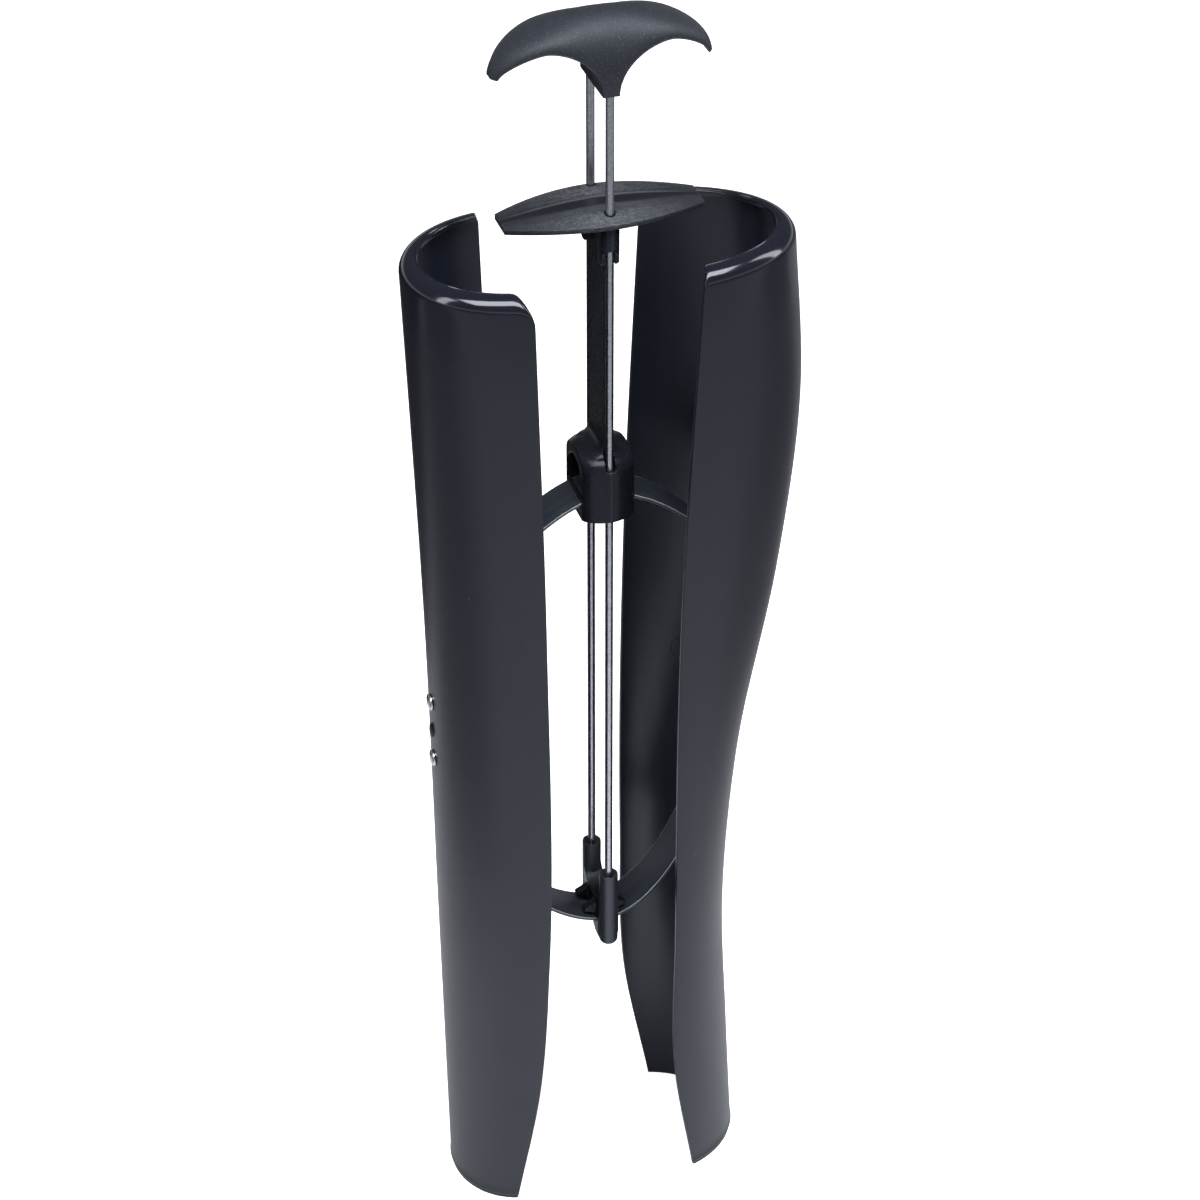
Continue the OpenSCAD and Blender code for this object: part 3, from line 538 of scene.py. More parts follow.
def lathe(profile, y=0, steps=64):
    """Closed solid of (radius, height) turned about an upright axis; both ends lie on the axis."""
    inner = profile[1:-1]
    points = [(0, y, profile[0][1]), (0, y, profile[-1][1])]
    for r, z in inner:
        points += [(r * math.cos(2 * math.pi * i / steps),
                    y + r * math.sin(2 * math.pi * i / steps), z) for i in range(steps)]
    top = 2 + (len(inner) - 1) * steps
    faces = []
    for i in range(steps):
        j = (i + 1) % steps
        faces.append((0, 2 + j, 2 + i))
        for a in range(2, top, steps):
            b = a + steps
            faces.append((a + i, a + j, b + j, b + i))
        faces.append((1, top + i, top + j))
    return points, faces


def arc(cx, cy, r, start, end, steps):
    """Points of an arc, with its angles in degrees."""
    angles = [start + (end - start) * i / steps for i in range(steps + 1)]
    return [(cx + r * cosd(a), cy + r * sind(a)) for a in angles]


def together(*solids):
    """Solids as one list of points and one of faces."""
    points, faces = [], []
    for p, f in solids:
        n = len(points)
        points += p
        faces += [tuple(i + n for i in face) for face in f]
    return points, faces


def rod_bores(r, low, high):
    """Two upright cylinders on the rods' axes, to cut with."""
    return together(*[lathe([(0, low), (r, low), (r, high), (0, high)], y, 48)
                      for y in (-rod_y, rod_y)])


def moulded(name, solids, cuts, material, voxel, rounds):
    """Solids joined and cut, then remeshed and relaxed so that every edge is a moulded round."""
    body = facing_out(make_piece(name, *together(*solids), smooth=False))

    def remesh(stage):
        modifier = body.modifiers.new(stage, "REMESH")
        modifier.mode = "VOXEL"
        modifier.voxel_size = voxel * MM

    remesh("join")
    cutters = []
    for number, cut in enumerate(cuts):
        cutters.append(facing_out(make_piece(f"{name}_cut_{number}", *cut, smooth=False)))
        cut_with(body, cutters[-1])
    remesh("mould")
    relax = body.modifiers.new("relax", "SMOOTH")
    relax.factor = 0.5
    relax.iterations = rounds
    baked(body)
    for cutter in cutters:
        bpy.data.objects.remove(cutter)
    body.data.shade_smooth()
    body.data.materials.clear()
    body.data.materials.append(material)
    return body


def dressed(obj, slot, *nodes):
    """Puts a finished piece in the place of the part's plain ones."""
    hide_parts(*nodes)
    return obj


# Lines through knots, as the source draws them

def slope(knots, i):
    return (knots[i + 1][1] - knots[i][1]) / (knots[i + 1][0] - knots[i][0])


def tangent(knots, i):
    if i == 0:
        return slope(knots, 0)
    if i == len(knots) - 1:
        return slope(knots, i - 1)
    before, after = knots[i][0] - knots[i - 1][0], knots[i + 1][0] - knots[i][0]
    return (slope(knots, i - 1) * after + slope(knots, i) * before) / (before + after)


def flow(knots, z):
    """The smooth line's distance at a height: a cubic between each two knots."""
    z = min(max(z, knots[0][0]), knots[-1][0])
    i = 0
    while i < len(knots) - 2 and z >= knots[i + 1][0]:
        i += 1
    h = knots[i + 1][0] - knots[i][0]
    x = (z - knots[i][0]) / h
    return ((2 * x**3 - 3 * x**2 + 1) * knots[i][1] + (x**3 - 2 * x**2 + x) * h * tangent(knots, i)
            + (3 * x**2 - 2 * x**3) * knots[i + 1][1] + (x**3 - x**2) * h * tangent(knots, i + 1))


def seat_lean(s):
    """How far a strap seat leans from upright, from the wall's slope just above and below it."""
    span = 6
    return math.atan((flow(reach[s], seat_z + span) - flow(reach[s], seat_z - span)) / (2 * span))


def on_seat(s, out, up):
    """X and Z of a point on a shell's strap seat, out through the wall and up along the seat."""
    lean = seat_lean(s)
    x = flow(reach[s], seat_z) - wall - pad_t
    return (s * (x + out * math.cos(lean) + up * math.sin(lean)),
            seat_z + up * math.cos(lean) - out * math.sin(lean))


def wall_out(s, up):
    """Distance from the seat to the shell's outer face."""
    x, z = on_seat(s, 0, up)
    return (flow(reach[s], z) - abs(x)) / math.cos(seat_lean(s))


# Shells

# Distances of the grid's lines from the open edge, then the number of its other lines
EDGE_RUN = [0, 0.55, 1.2, 2.1, 3.3, 4.8, 6.6, 8.6, 10.6, 12.5]
FIELD_STEPS, PAD_STEPS, WALL_STEPS, SHOULDER_STEPS = 26, 10, 118, 12
pad_edge = 0.5
pad_seam = 0.05
pad_clear = 1.2

# (height, inset) of the outer wall's first rings: the hem's cut edge and a fine bead above it
hem_bead = [(0, 0.35), (0.9, 0.35), (1.7, 0.33), (2.1, -0.15), (2.5, -0.27), (3, -0.1), (3.4, 0)]
hem_top = 3.8


def edge_angle(s, z):
    """The angle round the shell's curve where its wall ends."""
    c = flow(centre[s], z)
    return math.acos((flow(edge[s], z) - c) / (flow(reach[s], z) - c))


def wall_point(s, z, a, inset):
    """X and Y at an angle round the shell, set in from its outer face."""
    c, ry = flow(centre[s], z), flow(side[s], z)
    rx = flow(reach[s], z) - c
    nx, ny = ry * math.cos(a), rx * math.sin(a)
    n = math.hypot(nx, ny)
    return c + rx * math.cos(a) - inset * nx / n, ry * math.sin(a) - inset * ny / n


def all_angles(s, z):
    """The grid's angles at a height, from one open edge to the other."""
    end, ry = edge_angle(s, z), flow(side[s], z)
    rx = flow(reach[s], z) - flow(centre[s], z)
    pad, out = math.asin(pad_half_w / ry), math.asin((pad_half_w + pad_edge) / ry)
    run = end - EDGE_RUN[-1] / rx
    half = [pad * i / PAD_STEPS for i in range(PAD_STEPS + 1)]
    half += [out + (run - out) * i / FIELD_STEPS for i in range(FIELD_STEPS + 1)]
    half += [end - r / rx for r in reversed(EDGE_RUN[:-1])]
    return [-a for a in reversed(half[1:])] + half


def rim_height(s, a):
    """The rim's height at an angle, with its rounded corner at each open edge."""
    run = wall_point(s, rim_z, a, 0)[0] - flow(edge[s], rim_z)
    r = corner_r if s == FRONT and a < 0 else square_corner_r
    return rim_z if run >= r else rim_z - r + math.sqrt(max(0, r * r - (r - run) ** 2))


def below_rim(s, z, top_a):
    """A height, brought down with the rim's corner where it lies close below the rim."""
    if z <= corner_low_z:
        return z
    run = rim_z - corner_low_z
    return corner_low_z + (z - corner_low_z) * (rim_height(s, top_a) - corner_low_z) / run


def trimmed(s, a, roll):
    """An angle, drawn back from the open edge as the rim rolls in."""
    rx = flow(reach[s], rim_z) - flow(centre[s], rim_z)
    near_edge = (abs(a) / edge_angle(s, rim_z)) ** 6
    return a - math.copysign(1, a) * near_edge * rim_trim * max(roll, 0) / rim_w / rx


def on_pad(s, x, y, z):
    """The inner face's x, brought in to the raised pad where the strap sits."""
    if abs(z - seat_z) > pad_half_h + pad_seam or abs(y) > pad_half_w + pad_seam:
        return x
    seat_x = flow(reach[s], seat_z) - wall - pad_t
    return min(x, seat_x + (z - seat_z) * math.tan(seat_lean(s)))


def shell_rings():
    """(outer height, outer inset, inner height, inner inset) from the hem to the rim's lip."""
    top = rim_z - shoulder_r
    pads = [seat_z - pad_half_h - pad_edge, seat_z - pad_half_h,
            seat_z + pad_half_h, seat_z + pad_half_h + pad_edge]
    heights = [top * i / WALL_STEPS for i in range(1, WALL_STEPS + 1)]
    heights = [z for z in heights if z > hem_top and min(abs(z - p) for p in pads) > pad_clear]
    rings = [(z, inset, z, wall) for z, inset in hem_bead]
    rings += [(z, 0, z, wall) for z in sorted(heights + pads)]
    inner_r = shoulder_r - wall
    for i in range(1, SHOULDER_STEPS + 1):
        a = math.pi / 2 * i / SHOULDER_STEPS
        rings.append((top + shoulder_r * math.sin(a), shoulder_r * (1 - math.cos(a)),
                      top + inner_r * math.sin(a), shoulder_r - inner_r * math.cos(a)))
    under = rim_z - rim_drop - lip_t
    # (drop below the rim's top, inset, inner height), over a fine groove to the lip's end
    lip = [(0.02, 5.72, rim_z - wall), (0.34, 5.86, under + 0.1), (0.38, 6.08, under),
           (0.06, 6.24, under), (0.04, 6.5, under), (rim_drop, rim_w, under)]
    return rings + [(rim_z - drop, inset, low, inset) for drop, inset, low in lip]


def shell_faces(s, n, m):
    """Both walls, the open edges, the hem and the lip, on m rings of n points."""
    inner = n * m
    faces = []

    def quad(a, b, c, d):
        faces.append((a, b, c, d) if s == FRONT else (a, d, c, b))

    for i in range(m - 1):
        for j in range(n - 1):
            p = i * n + j
            quad(p, p + 1, p + n + 1, p + n)
            quad(inner + p, inner + p + n, inner + p + n + 1, inner + p + 1)
        p = i * n
        quad(p, p + n, inner + p + n, inner + p)
        p = i * n + n - 1
        quad(p, inner + p, inner + p + n, p + n)
    for j in range(n - 1):
        quad(j, inner + j, inner + j + 1, j + 1)
        p = (m - 1) * n + j
        quad(p, p + 1, inner + p + 1, inner + p)
    return faces


def shell_skin(name, s):
    """A half shell with its rolled rim, hem bead and strap pad."""
    rings = shell_rings()
    top_angles = all_angles(s, rim_z)
    points = []
    for inside in (False, True):
        for outer_z, outer_inset, inner_z, inner_inset in rings:
            z, inset = (inner_z, inner_inset) if inside else (outer_z, outer_inset)
            for a, top_a in zip(all_angles(s, z), top_angles):
                if z > corner_low_z:
                    a = trimmed(s, a, outer_inset)
                x, y = wall_point(s, z, a, inset)
                if inside:
                    x = on_pad(s, x, y, z)
                points.append((s * x, y, below_rim(s, z, top_a)))
    faces = shell_faces(s, len(top_angles), len(rings))
    obj = facing_out(make_piece(name, points, faces, shell_plastic))
    half = len(points) // 2
    mark_points(obj, "inside", [0.0] * half + [1.0] * half)
    soften_edges(obj, width=0.32, angle=40)
    return obj


def ejector_ring(name, s, z, angle, radius):
    """The faint raised ring that an ejector pin leaves on a shell's inner wall."""
    steps, section = 56, [(-0.22, 0.05), (-0.10, -0.13), (0.10, -0.13), (0.22, 0.05)]
    rx = flow(reach[s], z) - flow(centre[s], z)
    points = []
    for i in range(steps):
        a = 2 * math.pi * i / steps
        for out, deep in section:
            r = radius + out
            high = z + r * math.sin(a)
            x, y = wall_point(s, high, angle + r * math.cos(a) / rx, wall - deep)
            points.append((s * x, y, high))
    faces = []
    for i in range(steps):
        faces += band(len(section), i, (i + 1) % steps)
    obj = facing_out(make_piece(name, points, faces, shell_plastic))
    mark_points(obj, "inside", [1.0] * len(points))
    return obj


for s, word in SIDES:
    skin = shell_skin(f"{word}_shell_skin", s)
    dressed(skin, "shell", f"{word}_shell")
    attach(skin, f"{word}_shell")

mark = ejector_ring("rear_shell_ejector_mark", REAR, z=220.4, angle=0.896, radius=4.6)
dressed(mark, "shell", "rear_shell")
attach(mark, "rear_shell")


# Palm handle

crown_sunk = 0.5
crown_power = 2.2
stem_foot = 0.7
stem_power = 1.85
hollow_power = 1.5
grip_lip = 0.5
grip_end = grip_half_w - 0.25


def dip(t, power):
    """From 0 to 1 along a quarter of a superellipse, flat at 0 and steep at 1."""
    return 1 - (1 - t**power) ** (1 / power)


def grip_top(x):
    """The crown's height along the handle."""
    t = min(1, abs(x) / grip_half_w)
    rise = grip_top_z - grip_tip_z + crown_sunk
    return grip_tip_z - crown_sunk + rise * (1 - t**crown_power) ** 0.5


def grip_under(x):
    """The underside's height: the stem's foot, a hollow on each side and the tips."""
    a = abs(x)
    if a <= stem_half_t:
        return stem_z
    if a < hollow_x:
        t = (hollow_x - a) / (hollow_x - stem_half_t)
        return hollow_z - (hollow_z - stem_z - stem_foot) * dip(t, stem_power)
    if a < grip_tip_x:
        t = (a - hollow_x) / (grip_tip_x - hollow_x)
        return hollow_z - (hollow_z - grip_tip_z) * dip(t, hollow_power)
    return grip_tip_z


def grip_depth(x):
    """Half the handle's depth, narrowing to the tips."""
    return grip_half_d * (1 - (abs(x) / (grip_half_w + 0.4)) ** 3.2) ** 0.6


def grip_stations(count=110):
    """Where the handle's sections stand, close together at the tips and the stem's faces."""
    xs = [grip_half_w * math.sin(math.pi * (i / count - 0.5)) for i in range(1, count)]
    xs = [x for x in xs if abs(abs(x) - stem_half_t) > 0.45]
    for s in (FRONT, REAR):
        xs += [s * stem_half_t, s * (stem_half_t + 0.03), s * grip_end]
    return sorted(set(x for x in xs if abs(x) <= grip_end))


def grip_section(x, steps=56):
    """Points round the handle: a low bead along each lower edge and the crown between them."""
    low, depth = grip_under(x), grip_depth(x)
    lip = max(low + grip_lip, grip_side_z) if abs(x) < hollow_x else low + grip_lip
    high = max(grip_top(x), lip + 0.4)
    bead = min(0.22, 0.3 * depth)
    foot = [(depth - 0.45 * min(1, depth), low), (depth - 0.05, low + 0.06),
            (depth + bead, low + 0.22), (depth + bead * 0.6, low + 0.44)]
    crown = []
    for i in range(steps + 1):
        c, w = math.cos(math.pi * i / steps), math.sin(math.pi * i / steps)
        crown.append((depth * math.copysign(abs(c) ** (2 / crown_power), c),
                      lip + (high - lip) * max(w, 0) ** (2 / crown_power)))
    return [(x, y, z) for y, z in foot + crown + [(-y, z) for y, z in reversed(foot)]]


def palm_grip():
    """The whole handle, through its sections and closed at both tips."""
    sections = [grip_section(x) for x in grip_stations()]
    n, last = len(sections[0]), len(sections) - 1
    faces = []
    for k in range(last):
        faces += band(n, k, k + 1)
    faces.append(tuple(range(n - 1, -1, -1)))
    faces.append(tuple(last * n + i for i in range(n)))
    points = [p for section in sections for p in section]
    obj = facing_out(make_piece("palm_handle_grip", points, faces, grip_grain))
    mark_points(obj, "smooth", [0.0] * len(points))
    soften_edges(obj, width=0.3, angle=50)
    return obj


grip = palm_grip()
dressed(grip, "grip", "palm_handle")
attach(grip, "frame")


# Finger plate: v is a share of the plate's half depth

smooth_v = 0.17
valley_v = 0.18
step_v = 0.035
step_rise = 0.5
step_mid_v = 0.2
step_rows = (0.18, 0.19, 0.205, 0.215)
edge_lean = 0.3
mouth_r = 2.1
mouth_low_z, mouth_high_z = 420, 445


def plate_edge(x):
    """Half the plate's depth, narrowing to its tips."""
    return plate_tip_d + (plate_half_d - plate_tip_d) * (1 - (abs(x) / plate_half_w) ** 1.9)


def plate_bump(x):
    """How much of its relief the plate has: all in the middle, none at the tips."""
    return 1 - (abs(x) / plate_half_w) ** 1.6


def plate_lift(x):
    """The plate's arch along its length."""
    return plate_arch * (1 - (x / plate_half_w) ** 2)


def plate_relief(x, v):
    """The top's height over the arch: a smooth valley, a step, and a ridge near each edge."""
    a, at = abs(v), ridge_y / plate_half_d
    if a >= at:
        return ridge_rise * plate_bump(x) * (1 - (a - at) / (1 - at))
    share = max(0, (a - valley_v) / (at - valley_v))
    step = step_rise * min(1, max(0, (a - valley_v) / step_v)) - step_rise / 2
    return plate_bump(x) * (valley_rise + step * (1 - share) + (ridge_rise - valley_rise) * share)


def plate_rows(count=44):
    """Where the grid's rows lie, with close ones at the valley's step."""
    even = [2 * i / count - 1 for i in range(count + 1)]
    rows = [math.copysign(abs(v) ** 0.9, v) for v in even]
    rows = [v for v in rows if abs(abs(v) - step_mid_v) > step_v]
    return sorted(rows + [s * v for s in (-1, 1) for v in step_rows])


def plate_faces(n, m):
    """Top, underside and edge of a plate on two grids of n by m points."""
    low = n * m
    faces = []
    for j in range(n - 1):
        for i in range(m - 1):
            p = j * m + i
            faces.append((p, p + m, p + m + 1, p + 1))
            faces.append((low + p, low + p + 1, low + p + m + 1, low + p + m))
        for i in (0, m - 1):
            p = j * m + i
            faces.append((p, p + m, low + p + m, low + p))
    for i in range(m - 1):
        for j in (0, n - 1):
            p = j * m + i
            faces.append((p, p + 1, low + p + 1, low + p))
    return faces


def finger_rest(count=96):
    """The relieved top over a plain underside, with a round mouth for each rod."""
    rows = plate_rows()
    xs = [plate_half_w * (2 * i / count - 1) for i in range(count + 1)]
    top = [(x, v * plate_edge(x), plate_z + plate_lift(x) + plate_relief(x, v))
           for x in xs for v in rows]
    under = [(x, v * (plate_edge(x) - edge_lean), plate_z - plate_t + plate_lift(x))
             for x in xs for v in rows]
    faces = plate_faces(len(xs), len(rows))
    obj = facing_out(make_piece("finger_plate_rest", top + under, faces, plate_grain))
    smooth = [1.0 if abs(v) < smooth_v else 0.0 for _ in xs for v in rows]
    mark_points(obj, "smooth", smooth + [0.0] * len(under))
    bores = rod_bores(mouth_r, mouth_low_z, mouth_high_z)
    mouths = facing_out(make_piece("rod_mouths", *bores, smooth=False))
    cut_with(obj, mouths)
    baked(obj)
    bpy.data.objects.remove(mouths)
    soften_edges(obj, width=0.3, angle=40)
    obj.data.shade_smooth()
    return obj


plate = finger_rest()
dressed(plate, "grip", "finger_plate")
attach(plate, "slider")


# Geometry Nodes helpers

def add_socket(tree, name, kind, value=None):
    """A named input; gives back its identifier, which a modifier needs to set it."""
    socket = tree.interface.new_socket(name, in_out="INPUT", socket_type=kind)
    if value is not None:
        socket.default_value = value
    return socket.identifier


def shape_tree(name, sizes, objects=()):
    """An empty tree with inputs for named sizes in metres, for objects and for a material."""
    tree = bpy.data.node_groups.new(name, "GeometryNodeTree")
    ids = {"Geometry": add_socket(tree, "Geometry", "NodeSocketGeometry")}
    for key, value in sizes.items():
        kind = "NodeSocketInt" if isinstance(value, int) else "NodeSocketFloat"
        ids[key] = add_socket(tree, key, kind, value)
    for key in objects:
        ids[key] = add_socket(tree, key, "NodeSocketObject")
    ids["Material"] = add_socket(tree, "Material", "NodeSocketMaterial")
    tree.interface.new_socket("Geometry", in_out="OUTPUT", socket_type="NodeSocketGeometry")
    return tree, tree.nodes.new("NodeGroupInput").outputs, ids


def close_tree(tree, geometry, material):
    """Smooth shading, real meshes and the material, at the tree's end."""
    smooth = add_node(tree, "GeometryNodeSetShadeSmooth", Geometry=geometry)
    real = add_node(tree, "GeometryNodeRealizeInstances", Geometry=smooth.outputs[0])
    paint = add_node(tree, "GeometryNodeSetMaterial", Geometry=real.outputs[0], Material=material)
    tree.links.new(paint.outputs[0], tree.nodes.new("NodeGroupOutput").inputs[0])


def grown(name, points, edges, tree, ids, sizes, material):
    """A mesh of points and edges in millimetres, grown by a tree and baked."""
    mesh = bpy.data.meshes.new(name)
    mesh.from_pydata([tuple(c * MM for c in p) for p in points], edges, [])
    obj = bpy.data.objects.new(name, mesh)
    bpy.context.scene.collection.objects.link(obj)
    modifier = obj.modifiers.new("grow", "NODES")
    modifier.node_group = tree
    for key, value in sizes.items():
        modifier[ids[key]] = value
    modifier[ids["Material"]] = material
    return facing_out(baked(obj))


def chain(points):
    """Edges that join each point to the next."""
    return [(i, i + 1) for i in range(len(points) - 1)]


# Straps: half bows swept along their own line

strap_ease = 0.04
strap_edge_r = 0.3


def bezier(a, b, c, d, t):
    return tuple(p * (1 - t) ** 3 + q * 3 * t * (1 - t) ** 2 + r * 3 * t**2 * (1 - t) + w * t**3
                 for p, q, r, w in zip(a, b, c, d))


def bow(s, level, crest, steps=72, tab_steps=8):
    """Points of one half strap's middle, from the crest to its end on the seat."""
    foot = on_seat(s, -strap_t / 2, level * strap_tab)
    pull = on_seat(s, -strap_t / 2, level * (strap_tab + seat_pull))
    line = [bezier((0, crest), (s * crest_pull, crest), pull, foot, i / steps)
            for i in range(steps + 1)]
    last = on_seat(s, -strap_t / 2, level * strap_end_gap)
    return line + [tuple(f + (e - f) * i / tab_steps for f, e in zip(foot, last))
                   for i in range(1, tab_steps + 1)]


def sweep_tree():
    """A rounded strip that follows the polyline it is given."""
    tree, given, ids = shape_tree("strip_along_line", {
        "Width": 0.017, "Thickness": 0.0012, "Edge Radius": 0.0003})
    line = add_node(tree, "GeometryNodeMeshToCurve", Mesh=given["Geometry"])
    strip = add_node(tree, "GeometryNodeCurvePrimitiveQuadrilateral", Width=given["Width"],
                     Height=given["Thickness"])
    rounded = add_node(tree, "GeometryNodeFilletCurve", {"mode": "POLY"}, Curve=strip.outputs[0],
                       Radius=given["Edge Radius"], Count=4)
    swept = add_node(tree, "GeometryNodeCurveToMesh", Curve=line.outputs[0],
                     Profile_Curve=rounded.outputs[0], Fill_Caps=True)
    close_tree(tree, swept.outputs[0], given["Material"])
    return tree, ids


strip_tree, strip_ids = sweep_tree()


def half_strap(name, s, level, crest, node):
    """Half a strap, a fixed bow from its crest down to the seat on the shell that it sits on."""
    line = bow(s, level, crest)
    sizes = {"Width": strap_w * MM, "Thickness": (strap_t - strap_ease) * MM,
             "Edge Radius": strap_edge_r * MM}
    obj = grown(name, [(x, 0, z) for x, z in line], chain(line), strip_tree, strip_ids, sizes,
                strap_satin)
    dressed(obj, "strap", node)
    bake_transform(obj)


for s, word in SIDES:
    half_strap(f"upper_strap_{word}_half", s, UPPER, upper_crest_z,
               "upper_strap")
for s, word in SIDES:
    half_strap(f"lower_strap_{word}_half", s, LOWER, lower_crest_z,
               "lower_strap")


# Rods

ROD_STEPS = 60


def wire_tree():
    """A round wire along the given line, with closed ends."""
    tree, given, ids = shape_tree("drawn_wire", {"Diameter": 0.003, "Sides": 40})
    line = add_node(tree, "GeometryNodeMeshToCurve", Mesh=given["Geometry"])
    radius = add_node(tree, "ShaderNodeMath", {"operation": "MULTIPLY"},
                      i0=given["Diameter"], i1=0.5)
    ring = add_node(tree, "GeometryNodeCurvePrimitiveCircle", Resolution=given["Sides"],
                    Radius=radius.outputs[0])
    swept = add_node(tree, "GeometryNodeCurveToMesh", Curve=line.outputs[0],
                     Profile_Curve=ring.outputs[0], Fill_Caps=True)
    close_tree(tree, swept.outputs[0], given["Material"])
    return tree, ids


wire, wire_ids = wire_tree()
for rod_name, y in (("front_rod", -rod_y), ("back_rod", rod_y)):
    line = [(0, y, rod_low_z + (rod_top_z - rod_low_z) * i / ROD_STEPS)
            for i in range(ROD_STEPS + 1)]
    rod = grown(f"{rod_name}_wire", line, chain(line), wire, wire_ids,
                {"Diameter": rod_d * MM, "Sides": 40}, rod_steel)
    soften_edges(rod, width=0.25, angle=50)
    dressed(rod, "rod_steel", rod_name)
    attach(rod, "frame")


# Rivets, washers and pegs

stack_in = strap_t + washer_t


def stand_tree():
    """Sets a small turned part on every given point, leaning by Tilt about Y."""
    tree, given, ids = shape_tree("set_on_seat", {"Tilt": 0.0}, ["Part"])
    part = add_node(tree, "GeometryNodeObjectInfo", Object=given["Part"])
    turn = add_node(tree, "ShaderNodeCombineXYZ", Y=given["Tilt"])
    spots = add_node(tree, "GeometryNodeMeshToPoints", Mesh=given["Geometry"])
    copies = add_node(tree, "GeometryNodeInstanceOnPoints", Points=spots.outputs[0],
                      Instance=part.outputs["Geometry"], Rotation=turn.outputs[0])
    close_tree(tree, copies.outputs[0], given["Material"])
    return tree, ids


on_seats, seat_ids = stand_tree()


def seated(name, profile, s, up, out, material, slot, body, node):
    """A turned part on the strap seat, its axis pointing out of the shell."""
    seed = facing_out(make_piece(name + "_form", *lathe(profile, steps=56)))
    x, z = on_seat(s, out, up)
    tilt = s * (math.pi / 2 + seat_lean(s))
    obj = grown(name, [(x, 0, z)], [], on_seats, seat_ids, {"Tilt": tilt, "Part": seed}, material)
    bpy.data.objects.remove(seed)
    soften_edges(obj, width=0.12, angle=50)
    dressed(obj, slot, node)
    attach(obj, body)


def rivet_profile(s, up):
    """Clinched end, shank through washer, strap and wall, and a low domed head outside."""
    base = stack_in + clinch_h + wall_out(s, up) + 0.02
    rim, r = base + rivet_rim_h, rivet_head_d / 2
    shank_r, clinch_r = shank_d / 2, clinch_d / 2
    inner = [(0, 0.15), (1.2, 0.0), (clinch_r - 0.5, 0.05), (clinch_r, 0.45), (clinch_r, clinch_h),
             (shank_r, clinch_h), (shank_r, base), (r, base), (r, rim)]
    crown = [(r * cosd(a), rim + (rivet_head_h - rivet_rim_h) * sind(a)) for a in range(10, 90, 8)]
    return inner + crown + [(0, base + rivet_head_h)]


def washer_profile(ease=0.02, corner=0.08):
    """A thin disc with its corners taken off, clear of the faces it lies between."""
    r = washer_d / 2
    return [(0, ease), (r - corner, ease), (r, 0.1), (r, washer_t - 0.1),
            (r - corner, washer_t - ease), (0, washer_t - ease)]


for s, word in SIDES:
    for level, place, body in ((UPPER, "upper", f"{word}_strap_end"),
                               (LOWER, "lower", f"{word}_shell")):
        up = level * rivet_pitch
        seated(f"{word}_{place}_rivet_turned", rivet_profile(s, up), s, up, -stack_in - clinch_h,
               rivet_nickel, "rivet_nickel", body, f"{word}_{place}_rivet")
        seated(f"{word}_{place}_washer_ring", washer_profile(), s, up, -stack_in,
               washer_steel, "washer_steel", body, f"{word}_{place}_washer")


def lens_outline(steps=18):
    """(width, height) points round two equal arcs that meet in points."""
    half_w, half_h = peg_w / 2, peg_h / 2
    r = (half_w**2 + half_h**2) / (2 * half_w)
    sweep = math.asin(half_h / r)
    angles = [sweep * (2 * i / steps - 1) for i in range(steps + 1)]
    outline = [(half_w - r + r * math.cos(a), r * math.sin(a)) for a in angles]
    return outline + [(-w, -h) for w, h in outline[1:-1]]


def lens_peg(name, s, body, node, crown_h=0.8, rows=7):
    """A lens-shaped peg with a crowned end, standing out of the wall."""
    start = wall_out(s, 0) + peg_proud - crown_h
    levels = [(-strap_t, 1.0), (start, 1.0)]
    for i in range(1, rows):
        a = math.pi / 2 * i / rows
        levels.append((start + crown_h * math.sin(a), math.cos(a) ** 0.5))
    rings = []
    for out, scale in levels:
        ring = []
        for w, h in lens_outline():
            x, z = on_seat(s, out, h * (1 - (1 - scale) * 0.6))
            ring.append((x, w * scale, z))
        rings.append(ring)
    obj = facing_out(make_piece(name, *loft(rings), peg_gloss))
    dressed(obj, "peg", node)
    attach(obj, body)


for s, word in SIDES:
    lens_peg(f"{word}_peg_lens", s, f"{word}_shell", f"{word}_peg")


# Slide post and rod clip

bore_gap = 0.15

# Where the cuts end, well past what they cut
bore_low_z, bore_high_z = 300, 440
sleeve_bore_high_z = 160
flat_high_z = 350
slot_end_y, slot_high_z = 18, 345
outside = 20
clip_outside = 8


def strap_room(level, crest, near=40, steps=30):
    """The space that a strap takes round its crest, with clearance, as a closed band."""
    half_t, half_w = strap_t / 2 + strap_gap, strap_w / 2 + strap_gap
    line = bow(FRONT, level, crest, steps)[::-1] + bow(REAR, level, crest, steps)[1:]
    line = [p for p in line if abs(p[0]) < near]
    above, below = [], []
    for i, p in enumerate(line):
        q, r = line[max(i - 1, 0)], line[min(i + 1, len(line) - 1)]
        tx, tz = r[0] - q[0], r[1] - q[1]
        n = math.hypot(tx, tz)
        above.append((p[0] - half_t * tz / n, p[1] + half_t * tx / n))
        below.append((p[0] + half_t * tz / n, p[1] - half_t * tx / n))
    return prism(above + below[::-1], "y", -half_w, half_w)


def flare_ring(spread, share, z, steps=64):
    """Outline of the blade widened by spread: square on the blade, rounder towards the dome."""
    power = 2 / (9 - 6.6 * share**0.4)
    half_t, half_w = blade_t / 2 + spread, blade_half_w + 0.3 * spread
    ring = []
    for i in range(steps):
        c, w = math.cos(2 * math.pi * i / steps), math.sin(2 * math.pi * i / steps)
        ring.append((half_t * math.copysign(abs(c) ** power, c),
                     half_w * math.copysign(abs(w) ** power, w), z))
    return ring


